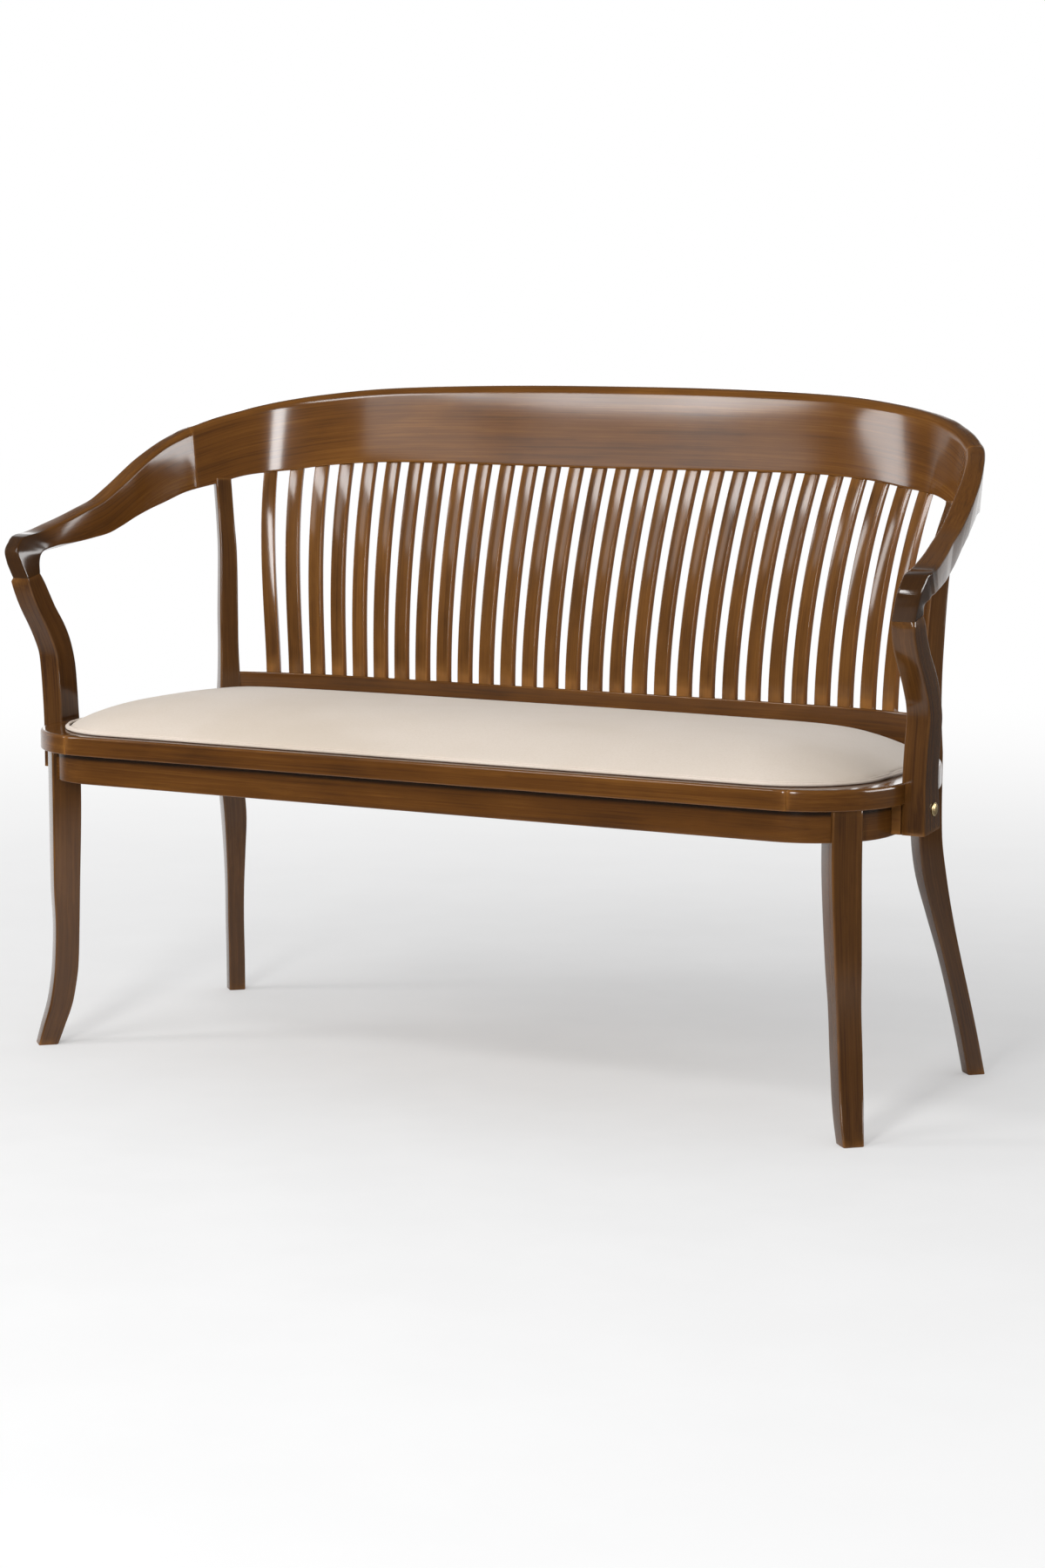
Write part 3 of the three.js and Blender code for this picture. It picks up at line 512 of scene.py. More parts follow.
low_line = np.array([row[1] for row in rail_rows], float)
rail_last = len(rail_rows) - 1
seam_row = len(ARM_ROWS) - 1
knuckle_row = 6
print("top rail has", len(rail_rows), "stations")

# %% [markdown]
# ## Reading the table between its rows
# A curve through the stations has to stay calm where they lie close together, so each
# stretch is timed by the square root of its length. That is the centripetal spline.

# %% Rail sections
def on_line(points, row):
    """The point of a smooth line through points, at a row number that may lie between two rows."""
    k = min(int(row), len(points) - 2)
    s = row - k
    p1, p2 = points[k], points[k + 1]
    p0 = points[k - 1] if k > 0 else 2 * p1 - p2
    p3 = points[k + 2] if k + 2 < len(points) else 2 * p2 - p1
    d0, d1, d2 = (max(np.linalg.norm(b - a), 1e-4) ** 0.5 for a, b in ((p0, p1), (p1, p2), (p2, p3)))
    start = ((p1 - p0) / d0 - (p2 - p0) / (d0 + d1) + (p2 - p1) / d1) * d1
    end = ((p2 - p1) / d1 - (p3 - p1) / (d1 + d2) + (p3 - p2) / d2) * d1
    square = 3 * (p2 - p1) - 2 * start - end
    cube = 2 * (p1 - p2) + start + end
    return p1 + s * start + s * s * square + s ** 3 * cube


def rail_way(row):
    """The rail's own direction at a row."""
    low, high = max(row - 0.01, 0), min(row + 0.01, rail_last)
    return unit(on_line(low_line, high) - on_line(low_line, low))


def rail_out(row):
    """The level direction out of the rail's inner face."""
    way = rail_way(min(max(row, knuckle_row), rail_last - knuckle_row))
    return unit(np.array([way[1], -way[0], 0]))


def from_rows(row, column):
    k = min(int(row), rail_last - 1)
    return mix(rail_rows[k][column], rail_rows[k + 1][column], row - k)


def rail_section(row):
    low, top = on_line(low_line, row), on_line(top_line, row)
    out, nose = rail_out(row), from_rows(row, 4)
    corners = four(low, top - low, out * from_rows(row, 3))
    corners[2] = corners[2] + nose * (np.array([0, 6.5, 0]) - out * 5.2)
    corners[3] = corners[3] + np.array([0, 0, from_rows(row, 2)])
    crestward = min(row, rail_last - row, seam_row) / seam_row
    inner, outer = mix(3, 11, crestward ** 4), mix(4, 6, crestward ** 4)
    return rounded(corners, (3, inner, outer, 3), 6)


def rail_sections(first, last, per_row=8):
    steps = int(round((last - first) * per_row))
    return [rail_section(mix(first, last, k / steps)) for k in range(steps + 1)]


print("section at the middle stands", round(float(np.ptp(rail_section(rail_last / 2)[:, 2])), 1), "mm high")

# %% [markdown]
# ## Crest rail and arms
# On the real settee the crest is a bent plank and each arm is shaped and glued to its end.
# The seam shows as a fine dark line where the figure of the grain breaks off. So these
# are three skins with their ends rounded off a touch, and they meet in that line.

# %% Crest rail and arms
seam_gap = 0.15


def drawn_back(ring, row, way):
    return ring + rail_way(row) * seam_gap * way


arm_rings = rail_sections(0, seam_row)
arm_rings[-1] = drawn_back(arm_rings[-1], seam_row, -1)
crest_rings = rail_sections(seam_row, rail_last - seam_row)
fit(skin("crest_rail_bent", crest_rings, end_round=0.6), ["crest_rail"], rail_wood)
fit(skin("arm_right_shaped", arm_rings, end_round=0.6), ["arm_right"], arm_wood)
fit(skin("arm_left_shaped", flipped(arm_rings), end_round=0.6), ["arm_left"], arm_wood)
print("crest and arms:", sum(len(pieces[n].data.polygons) for n in pieces), "faces")

# %% [markdown]
# ## Arm supports
# Each support is sawn from thick board. It stands on the outside of the rim, leans
# forward in a long S and ends in a flat joint under the arm's knuckle.

# %% Arm supports
SUPPORT_SHARES = [
    # front edge's height, its way forward, back edge's height, its way forward, lean
    (0, 0, 0.018, 0, 0), (0.12, 0, 0.13, 0.064, 0), (0.24, 0, 0.245, 0.136, 0), (0.4, 0, 0.4, 0.147, 0.25),
    (0.53, 0, 0.53, 0.155, 0.58), (0.6, 0.05, 0.615, 0.25, 0.62), (0.66, 0.177, 0.69, 0.39, 0.63),
    (0.71, 0.305, 0.75, 0.55, 0.65), (0.76, 0.452, 0.8, 0.72, 0.66), (0.81, 0.61, 0.84, 0.86, 0.68),
    (0.86, 0.75, 0.89, 1, 0.72), (0.92, 0.884, 0.94, 1.13, 0.8), (0.965, 0.955, 0.98, 1.23, 0.92),
    (1, 1, 1.022, 1.364, 1),
]
support_foot, support_inner, support_thick = 341, 575.7, 28.5
support_front, support_deep, support_reach, support_lean = 115.5, 47.5, 55, 7.1
arm_joint = 585


def support_ring(t):
    up, forward, back_up, back_forward, lean = through(SUPPORT_SHARES, t)
    x = support_inner + support_lean * lean
    height = arm_joint - support_foot
    front_y = support_front - support_reach * forward
    rear_y = support_front + support_deep - support_reach * back_forward
    front = np.array([x, front_y, support_foot + height * up])
    rear = np.array([x, rear_y, support_foot + height * back_up])
    return rounded(four(rear, front - rear, np.array([support_thick, 0, 0])), (3, 3, 3, 3), 6)


support_rings = [support_ring(t) for t in np.linspace(0, 1, 56)]
support_rings[-1] = drawn_back(rail_section(0), 0, -1)
for side, rings in (("right", support_rings), ("left", flipped(support_rings))):
    support = skin(f"arm_support_{side}_sawn", rings, end_round=0.5)
    fit(support, [f"arm_support_{side}"], leg_wood)
print("two supports,", len(support_rings), "sections each")

# %% [markdown]
# ## Legs and stiles
# All four legs are square in section and set cornerwise, so that an edge faces the front.
# The front ones swell under the seat and kick out at the foot. Each rear leg and the
# post above it are one long stick, bent back both ways from the seat.

# %% Legs and stiles
FRONT_LEG_SHARES = [
    # height share, way out, way forward, swell
    (0, 1, 1, 0), (0.066, 0.76, 0.62, 0.21), (0.133, 0.54, 0.18, 0.36), (0.2, 0.4, -0.06, 0.4),
    (0.266, 0.3, -0.19, 0.45), (0.4, 0.19, -0.2, 0.47), (0.533, 0.13, -0.08, 0.73), (0.8, 0, 0, 1),
    (1, 0, 0, 1),
]
REAR_LEG_SHARES = [
    # height share, way out, way back, swell
    (0, 1, 1, 0), (0.125, 0.835, 0.853, 0), (0.25, 0.658, 0.684, 0), (0.375, 0.456, 0.515, 0.1),
    (0.5, 0.243, 0.338, 0.5), (0.625, 0.063, 0.17, 1), (0.75, 0, 0.03, 1), (1, 0, 0, 1),
]
POST_SHARES = [
    # length share, way out, way back, thinning
    (0, 0, 0, 0), (0.13, 0.01, 0.01, 0.4), (0.27, 0.05, 0.04, 0.65), (0.41, 0.09, 0.09, 0.65),
    (0.69, 0.26, 0.36, 0.85), (0.83, 0.49, 0.52, 1), (1, 1, 1, 1),
]


seat_height, apron_top = 400, 375.7
front_leg_x, front_leg_y, front_leg_side = 530, 58, 36
front_foot_out, front_foot_forward, front_foot_side = 22, 17, 25
stile_x, stile_y, stile_side = 497, 380, 30
rear_foot_out, rear_foot_back, rear_foot_side = 39.5, 68, 22
post_top_out, post_top_back, post_length, post_side = 22.5, 24, 292, 21
post_end = (519.9, 404.4, 697)


def cornerwise(x, y, z, side):
    half = side / math.sqrt(2)
    corners = four(np.array([x, y - half, z]), np.array([half, half, 0]), np.array([-half, half, 0]))
    return rounded(corners, (3, 3, 3, 3), 6)


def front_leg_ring(t):
    up, out, forward, swell = through(FRONT_LEG_SHARES, t)
    x, y = front_leg_x + front_foot_out * out, front_leg_y - front_foot_forward * forward
    return cornerwise(x, y, apron_top * up, mix(front_foot_side, front_leg_side, swell))


def rear_leg_ring(t):
    up, out, back, swell = through(REAR_LEG_SHARES, t)
    x, y = stile_x + rear_foot_out * out, stile_y + rear_foot_back * back
    return cornerwise(x, y, seat_height * up, mix(rear_foot_side, stile_side, swell))


def post_ring(t):
    up, out, back, thin = through(POST_SHARES, t)
    x, y = stile_x + post_top_out * out, stile_y + post_top_back * back
    return cornerwise(x, y, seat_height + post_length * up, mix(stile_side, post_side, thin))


front_leg_rings = [front_leg_ring(t) for t in np.linspace(0, 1, 44)]
stile_rings = [rear_leg_ring(t) for t in np.linspace(0, 1, 40)]
stile_rings += [post_ring(t) for t in np.linspace(0, 1, 36)[1:]]
stile_rings.append(cornerwise(*post_end, post_side))
for side, turn in (("right", list), ("left", flipped)):
    leg = skin(f"front_leg_{side}_shaped", turn(front_leg_rings), end_round=1)
    fit(leg, [f"front_leg_{side}"], leg_wood)
    stile = skin(f"rear_stile_{side}_bent", turn(stile_rings), end_round=1)
    fit(stile, [f"rear_stile_{side}"], leg_wood)
print("four legs, the rear ones", len(stile_rings), "sections long")

# %% [markdown]
# ## Seat rim and apron
# The rim is a flat board bent or joined into an oval, with a soft outer edge. Under it
# runs a narrower apron. Both follow the same outline, drawn in by different amounts, so
# one function gives the outline and another sweeps a profile along a stretch of it.

# %% Outline of the seat
SEAT_HALF, SEAT_DEEP = 580, 436
side_turns_in, rear_flat_half = 160, 400
side_share, back_share = 0.42, 0.56


def edge_right(half, front, radius, back, arc_steps=40, bend_steps=60):
    """Right half of an edge: a round front corner, then a long bend into the flat back."""
    angles = np.linspace(-math.pi / 2, 0, arc_steps)
    arc = np.stack([half - radius + radius * np.cos(angles), front + radius + radius * np.sin(angles)], -1)
    p0 = np.array([half, side_turns_in])
    p1 = np.array([half, mix(side_turns_in, back, side_share)])
    p2 = np.array([mix(rear_flat_half, half, back_share), back])
    p3 = np.array([rear_flat_half, back])
    s = np.linspace(0, 1, bend_steps)[:, None]
    bend = (1 - s) ** 3 * p0 + 3 * s * (1 - s) ** 2 * p1 + 3 * s * s * (1 - s) * p2 + s ** 3 * p3
    return np.concatenate([arc, bend])


def evenly_spaced(points, step):
    """Points every step along a line."""
    lengths = np.concatenate([[0], np.cumsum(np.linalg.norm(np.diff(points, axis=0), axis=1))])
    count = max(int(round(lengths[-1] / step)), 2)
    at = np.linspace(0, lengths[-1], count + 1)
    return np.stack([np.interp(at, lengths, points[:, k]) for k in range(2)], -1)


def seat_edge(step=2.5):
    """The rim's whole edge and its level inward directions, from the middle of the front."""
    right = edge_right(SEAT_HALF, 0, 115, SEAT_DEEP)
    right = np.concatenate([[[0, 0]], right, [[0, SEAT_DEEP]]])
    left = (right * np.array([-1, 1]))[::-1]
    line = evenly_spaced(np.concatenate([right, left[1:]]), step)[:-1]
    way = np.roll(line, -1, 0) - np.roll(line, 1, 0)
    way /= np.linalg.norm(way, axis=1, keepdims=True)
    return line, np.stack([-way[:, 1], way[:, 0]], -1)


edge_line, edge_inward = seat_edge()
print("the rim's edge is", round(len(edge_line) * 2.5 / 1000, 2), "m round")

# %% [markdown]
# The rim and the apron are each made of four stretches, sawn off square at the seams.
# A profile is written as pairs: how far in from the edge, and how high. Each of its
# points is led along the edge at its own distance, from one seam to the next.

# %% Sweep a profile along the seat's edge
def crossing(line, x, at_front):
    """Where a closed line crosses x, counted in its points."""
    off = line[:, 0] - x
    after = np.roll(off, -1)
    hits = (off * after <= 0) & (off != after) & ((line[:, 1] < 200) == at_front)
    k = int(np.argmax(hits))
    return k + off[k] / (off[k] - after[k])


def stretch(line, start, end, count):
    """Evenly spaced points of a closed line between two places on it."""
    total = len(line)
    end = end if end > start else end + total
    at = np.linspace(start, end, 4 * count)
    twice = np.concatenate([line, line, line[:1]])
    points = np.stack([np.interp(at, np.arange(len(twice)), twice[:, k]) for k in range(2)], -1)
    lengths = np.concatenate([[0], np.cumsum(np.linalg.norm(np.diff(points, axis=0), axis=1))])
    even = np.linspace(0, lengths[-1], count)
    return np.stack([np.interp(even, lengths, points[:, k]) for k in range(2)], -1)


def swept(profile, seam, next_seam, count):
    columns = []
    for inset, z in profile:
        line = edge_line + edge_inward * inset
        flat = stretch(line, crossing(line, *seam), crossing(line, *next_seam), count)
        columns.append(np.column_stack([flat, np.full(count, z)]))
    return list(np.array(columns).transpose(1, 0, 2))


def box_profile(out, inner, low, high, cut_low, cut_high, cut_in, steps=6):
    corners = [np.array(c, float) for c in ((out, low), (out, high), (inner, high), (inner, low))]
    return rounded(corners, (cut_low, cut_high, cut_in, cut_in), steps)


def four_stretches(name, profile, front_seam, rear_seam, wood):
    gap = 0.12
    stretches = {
        "front": ((gap - front_seam, True), (front_seam - gap, True), 150),
        "right": ((front_seam + gap, True), (rear_seam + gap, False), 100),
        "rear": ((rear_seam - gap, False), (gap - rear_seam, False), 130),
        "left": ((-rear_seam - gap, False), (-front_seam - gap, True), 100),
    }
    for where, ends in stretches.items():
        piece = skin(f"{name}_{where}_shaped", swept(profile, *ends), end_round=0.25)
        fit(piece, [f"{name}_{where}"], wood)


four_stretches("seat_rim", box_profile(0, 59.5, 376, 400, 1.8, 4, 1), 487, 430, rim_wood)
four_stretches("apron", box_profile(16, 36, 338.7, 375.7, 1.6, 1.6, 1.2), 531, 430, apron_wood)
print("rim and apron in eight stretches")

# %% [markdown]
# ## Lower back rail
# A narrow rail stands on the rim behind the pad. Its middle bows back, and near the
# stiles it turns forward to meet them.

# %% Lower back rail
back_rail_y, back_rail_forward, back_rail_power = 418, 34, 7
back_rail_foot, back_rail_high, back_rail_thick, back_rail_half = 404, 39.5, 20, 492


def back_line(x):
    return back_rail_y - back_rail_forward * (abs(x) / stile_x) ** back_rail_power


def back_out(x):
    slope = (back_line(x + 0.5) - back_line(x - 0.5))
    return unit(np.array([-slope, 1, 0]))


def back_rail_ring(x):
    out = back_out(x)
    first = np.array([x, back_line(x), back_rail_foot]) - out * (back_rail_thick / 2)
    upright = np.array([0, 0, back_rail_high])
    return rounded(four(first, upright, out * back_rail_thick), (2.5, 2.5, 2.5, 2.5), 5)


places = np.linspace(-1, 1, 121)
bends = np.sign(places) * (1 - (1 - np.abs(places)) ** 1.5)
back_rail_rings = [back_rail_ring(back_rail_half * s) for s in bends]
back_rail = skin("lower_back_rail_bent", back_rail_rings, end_round=0.3)
fit(back_rail, ["lower_back_rail"], rim_wood)
print("lower back rail is", 2 * back_rail_half, "mm long")

# %% [markdown]
# ## Slats
# Twenty-nine thin slats stand in the lower rail and let into the crest. Each bows back
# a little and fans out, and turns from the lower rail's direction to the crest's.

# %% Slats
SLAT_WIDE, SLAT_DEEP = 17.8, 10.4
slat_count, outer_foot_x, outer_top_x = 29, 439.7, 466.2
slat_foot_z, foot_forward, behind_low_edge = 443.3, 2.2, 8.2


def crest_row_at(x):
    near, far = float(seam_row), float(rail_last - seam_row)
    for _ in range(40):
        middle = (near + far) / 2
        if on_line(low_line, middle)[0] > x:
            near = middle
        else:
            far = middle
    return near


def slat_rings(number, steps=22):
    place = (number - 14) / 14
    foot_x, top_x = outer_foot_x * place, outer_top_x * place
    row = crest_row_at(top_x)
    under = on_line(low_line, row)
    foot_out, top_out = back_out(foot_x), rail_out(row)
    bend = mix(1.75, 2.9, abs(place) ** 3)
    over = 1 + 12 / (under[2] - 443.8)
    rings = []
    for t in np.linspace(0, 1, steps):
        s = t * over
        out = unit(mix(foot_out, top_out, t))
        sideways = np.array([out[1], -out[0], 0])
        centre = np.array([
            mix(foot_x, top_x, s ** 1.5),
            mix(back_line(foot_x) - foot_forward, under[1] + behind_low_edge, s ** bend),
            mix(slat_foot_z, under[2], s),
        ])
        first = centre - sideways * SLAT_WIDE / 2 - out * SLAT_DEEP / 2
        rings.append(rounded(four(first, sideways * SLAT_WIDE, out * SLAT_DEEP), (1.5, 1.5, 1.5, 1.5), 4))
    return rings


for number in range(slat_count):
    label = f"{number + 1:02d}"
    slat = skin(f"slat_{label}_bent", slat_rings(number), end_round=0)
    fit(slat, [f"slat_{label}"], slat_wood)
print("slats stand", round(outer_foot_x / 14 - SLAT_WIDE, 1), "mm apart")

# %% [markdown]
# ## Bolt caps
# A bolt holds each support to the apron. Its domed cap is the only metal that shows.
# A lathe profile turned round the bolt's line makes both.

# %% Brass
def aged_brass():
    material = bpy.data.materials.new("aged brass")
    material.use_nodes = True
    tree = material.node_tree
    shader = tree.nodes["Principled BSDF"]
    where = add(tree, "ShaderNodeTexCoord", -1000, 0).outputs["Object"]
    tarnish = stretched_noise(tree, where, (260, 260, 260), 4, -700, 0)
    dull, clean = (0.22, 0.15, 0.07, 1), (0.6, 0.47, 0.25, 1)
    metal = blend_colour(tree, spread(tree, tarnish, 0.35, 0.65, -600, 200), dull, clean, -500, 100)
    worn = use(tree, wear, -400, 100, {
        "Place": where, "Base": metal, "Rubbing": 0.8,
        "Rubbed": (0.78, 0.64, 0.36, 1), "Waxed": (0.05, 0.035, 0.015, 1),
    })
    tree.links.new(worn.outputs["Colour"], shader.inputs["Base Color"])
    tree.links.new(spread(tree, tarnish, 0.3, 0.7, -400, -200, 0.45, 0.22), shader.inputs["Roughness"])
    shader.inputs["Metallic"].default_value = 1
    return material


brass = aged_brass()


def turned(profile, x_way, y, z, steps=40):
    """Rings of a profile of (distance along x, radius) turned round a line along x."""
    angles = np.linspace(0, 2 * math.pi, steps, endpoint=False)
    return [
        np.stack([np.full(steps, x * x_way), y + r * np.cos(angles), z + r * np.sin(angles)], -1)
        for x, r in profile
    ]


cap_face = support_inner + support_thick + 0.3
bolt_end, bolt_radius, cap_radius = 544, 3, 7.7
bolt_y, bolt_z = 142, 369
cap_profile = [(bolt_end, bolt_radius), (cap_face, bolt_radius), (cap_face, 7.2)]
cap_profile += [(cap_face + 0.5, cap_radius), (cap_face + 1, 7.6)]
dome = np.linspace(0.15, math.pi / 2, 10)
cap_profile += [(cap_face + 1 + 2 * math.sin(a), 0.2 + 7.1 * math.cos(a)) for a in dome]
for side, way in (("right", 1), ("left", -1)):
    bolt = skin(f"support_bolt_{side}_turned", turned(cap_profile, way, bolt_y, bolt_z), end_round=0)
    fit(bolt, [f"support_bolt_{side}"], brass)
print("two caps,", 2 * cap_radius, "mm across")

# %% [markdown]
# ## Seat board and blocks
# The plywood board under the pad and the two blocks behind the bolts are the CAD solids
# as they are. They only get wood that suits them.

# %% Board and blocks
def plywood():
    material = bpy.data.materials.new("bare plywood")
    material.use_nodes = True
    tree = material.node_tree
    shader = tree.nodes["Principled BSDF"]
    where = add(tree, "ShaderNodeTexCoord", -1200, 0).outputs["Object"]
    wood = use(tree, grain, -800, 100, {
        "Board": where, "Deep": (0.2, 0.12, 0.06, 1),
        "Body": (0.36, 0.24, 0.13, 1), "Pale": (0.5, 0.36, 0.21, 1),
    })
    tree.links.new(wood.outputs["Colour"], shader.inputs["Base Color"])
    roughness = spread(tree, wood.outputs["Streak"], 0, 1, -400, -200, 0.8, 0.62)
    tree.links.new(roughness, shader.inputs["Roughness"])
    bump = add(tree, "ShaderNodeBump", -200, -400, {
        "Height": wood.outputs["Height"], "Strength": 0.3, "Distance": 0.0006,
    })
    tree.links.new(bump.outputs[0], shader.inputs["Normal"])
    return material


def finish_cad(name, material):
    cad[name].data.materials.clear()
    cad[name].data.materials.append(material)


finish_cad("seat_board", plywood())
finish_cad("support_spacer_right", block_wood)
finish_cad("support_spacer_left", block_wood)
print("three CAD solids carried over")

# %% [markdown]
# ## Cream cloth
# The cover is a smooth, tightly woven cotton or linen, a little uneven in tone where it
# has been sat on. From a step away the weave hardly shows, so the group gives a very
# fine bump from two crossed sets of threads, and slow patches of colour.

# %% Cloth group
cloth, taken, given = group("woven cloth", [
    ("Place", "NodeSocketVector", None),
    ("Threads", "NodeSocketFloat", 900.0),
    ("Clean", "NodeSocketColor", (0.7, 0.64, 0.55, 1)),
    ("Soiled", "NodeSocketColor", (0.55, 0.47, 0.36, 1)),
], [("Colour", "NodeSocketColor"), ("Height", "NodeSocketFloat")])
place = taken.outputs["Place"]


def threads(axis, y):
    part = add(cloth, "ShaderNodeSeparateXYZ", -1100, y, {"Vector": place}).outputs[axis]
    turned_in = sums(cloth, "MULTIPLY", part, taken.outputs["Threads"], -900, y)
    return sums(cloth, "SINE", sums(cloth, "MULTIPLY", turned_in, math.tau, -700, y), 0, -500, y)


weave = sums(cloth, "MULTIPLY", threads(0, -200), threads(1, -450), -300, -300)
patches = stretched_noise(cloth, place, (3.2, 4.5, 4.5), 4, -900, 300)
specks = stretched_noise(cloth, place, (420, 420, 420), 2, -900, 60)
soil = spread(cloth, patches, 0.38, 0.72, -600, 300)
soil_share = sums(cloth, "MULTIPLY", soil, 0.5, -400, 300)
shade = blend_colour(cloth, soil_share, taken.outputs["Clean"], taken.outputs["Soiled"], -100, 300)
flecks = sums(cloth, "MULTIPLY", spread(cloth, specks, 0.42, 0.66, -600, 60), 0.16, -400, 60)
flecked = blend_colour(cloth, flecks, shade, taken.outputs["Soiled"], 200, 200)
cloth.links.new(flecked, given.inputs["Colour"])
low_specks = sums(cloth, "MULTIPLY", specks, 0.8, -200, 0)
cloth.links.new(sums(cloth, "ADD", weave, low_specks, 300, -200), given.inputs["Height"])
print("cloth group has", len(cloth.nodes), "nodes")


# %% Cloth materials
def cream_cloth(name, clean, soiled, thread_count, sheen):
    material = bpy.data.materials.new(name)
    material.use_nodes = True
    tree = material.node_tree
    shader = tree.nodes["Principled BSDF"]
    where = add(tree, "ShaderNodeTexCoord", -1000, 0).outputs["Object"]
    woven = use(tree, cloth, -600, 0, {
        "Place": where, "Threads": thread_count, "Clean": clean, "Soiled": soiled,
    })
    tree.links.new(woven.outputs["Colour"], shader.inputs["Base Color"])
    rough = stretched_noise(tree, where, (30, 30, 30), 3, -600, -250)
    tree.links.new(spread(tree, rough, 0.3, 0.7, -350, -250, 0.78, 0.92), shader.inputs["Roughness"])
    shader.inputs["Sheen Weight"].default_value = sheen
    shader.inputs["Sheen Roughness"].default_value = 0.5
    shader.inputs["Specular IOR Level"].default_value = 0.25
    bump = add(tree, "ShaderNodeBump", -200, -450, {
        "Height": woven.outputs["Height"], "Strength": 0.25, "Distance": 0.0003,
    })
    tree.links.new(bump.outputs[0], shader.inputs["Normal"])
    return material


cover_cloth = cream_cloth("cream cover", (0.7, 0.61, 0.52, 1), (0.58, 0.48, 0.37, 1), 700.0, 0.25)
piping_cloth = cream_cloth("cream piping", (0.74, 0.64, 0.55, 1), (0.55, 0.45, 0.35, 1), 900.0, 0.2)
print("two cream cloths")

# %% [markdown]
# ## The pad
# A foam pad under a stretched cover has a soft crown and pulls in at its edge, where the
# cover is tacked down. We start from a crowned shape a little lower than the real one,
# cut it into small even squares and blow it up gently as cloth, with its edge held.
# That gives the slight fullness that a drawn curve lacks.

# %% Shape of the pad
pad_inset, pad_front, pad_corner, pad_bottom = 34, 20, 108, 400.3
stile_clearance, rail_clearance = 6.2, 7


def pad_edge(step=7.0):
    right = edge_right(SEAT_HALF - pad_inset, pad_front, pad_corner, SEAT_DEEP)
    right = np.concatenate([[[0, pad_front]], right, [[0, SEAT_DEEP]]])
    left = (right * np.array([-1, 1]))[::-1]
    line = evenly_spaced(np.concatenate([right, left[1:]]), step)[:-1]
    stile_reach = stile_side / math.sqrt(2) + stile_clearance * math.sqrt(2)
    limit = stile_x + stile_y - stile_reach
    edge = []
    for x, y in line:
        y = min(y, back_line(x) - back_rail_thick / 2 - rail_clearance)
        over = max(0, abs(x) + y - limit) / 2
        edge.append((x - math.copysign(over, x), y - over))
    return np.array(edge)


pad_line = pad_edge()


def pad_rings(crown, wall=3.7, rings=40):
    made = [np.column_stack([pad_line, np.full(len(pad_line), pad_bottom)])]
    for s in np.linspace(0, 0.985, rings) ** 1.25:
        rise = crown * (1 - (1 - s) ** 3)
        ridge_x = np.clip(pad_line[:, 0], -350, 350)
        ridge_y = 200 + np.clip(pad_line[:, 1] - 200, -12, 12)
        x, y = mix(pad_line[:, 0], ridge_x, s), mix(pad_line[:, 1], ridge_y, s)
        made.append(np.column_stack([x, y, np.full(len(pad_line), pad_bottom + wall + rise)]))
    return made


pad = skin("seat_pad_padded", pad_rings(36), end_round=0)
print("pad edge has", len(pad_line), "points")

# %% [markdown]
# Its swelling is capped, so the pad can't grow past the space that the CAD pad holds.

# %% Blow the pad up as cloth
def blown_up(piece, voxel=0.006, pressure=4.0, cap=0.006, held_below=0.4075):
    rest = remeshed(piece, voxel)
    start = coordinates(rest)
    hold = rest.vertex_groups.new(name="held")
    low = [i for i, c in enumerate(start) if c[2] < held_below]
    hold.add(low, 1.0, "REPLACE")
    cloth_modifier = rest.modifiers.new("cover", "CLOTH")
    settings = cloth_modifier.settings
    settings.use_pressure = True
    settings.uniform_pressure_force = pressure
    settings.effector_weights.gravity = 0
    settings.tension_stiffness = settings.compression_stiffness = 18
    settings.shear_stiffness = 8
    settings.bending_stiffness = 0.8
    settings.vertex_group_mass = "held"
    settings.mass = 0.3
    settings.quality = 5
    cloth_modifier.collision_settings.use_collision = False
    cloth_modifier.point_cache.frame_start, cloth_modifier.point_cache.frame_end = 1, 20
    for number in range(1, 21):
        bpy.context.scene.frame_set(number)
    shown = rest.evaluated_get(bpy.context.evaluated_depsgraph_get())
    moved = coordinates(shown) - start
    rest.modifiers.clear()
    reach = np.linalg.norm(moved, axis=1, keepdims=True)
    moved *= np.minimum(1, cap / np.maximum(reach, 1e-9))
    rest.data.vertices.foreach_set("co", (start + moved).ravel())
    rest.data.update()
    bpy.context.scene.frame_set(1)
    print("cover moved by up to", round(float(reach.max()) * 1000, 1), "mm, kept to", cap * 1000)
    return rest


def coordinates(thing):
    points = np.empty(len(thing.data.vertices) * 3)
    thing.data.vertices.foreach_get("co", points)
    return points.reshape(-1, 3)


def remeshed(piece, voxel):
    remesh = piece.modifiers.new("even squares", "REMESH")
    remesh.mode = "VOXEL"
    remesh.voxel_size = voxel
    baked = bpy.data.meshes.new_from_object(piece.evaluated_get(bpy.context.evaluated_depsgraph_get()))
    piece.modifiers.clear()
    old, piece.data = piece.data, baked
    bpy.data.meshes.remove(old)
    return piece


pad = blown_up(pad)
smooth = pad.modifiers.new("softer", "SUBSURF")
smooth.levels = smooth.render_levels = 1
pad.data.polygons.foreach_set("use_smooth", [True] * len(pad.data.polygons))
fit(pad, ["seat_pad"], cover_cloth)
print("pad has", len(pad.data.polygons), "faces")

# %% [markdown]
# ## Piping
# A folded welt in the same cloth runs round the pad on the rim. Its upper lip is caught
# by a tack every three centimetres and swells between them, and a dark groove parts the
# lip from the fold below it. The section is two overlapping rounds, drawn as one line.

# %% Piping
def reach_of(centre, radius, towards):
    """How far a round goes from a point inside it, each way."""
    along = towards @ centre
    return along + np.sqrt(along ** 2 - centre @ centre + radius ** 2)


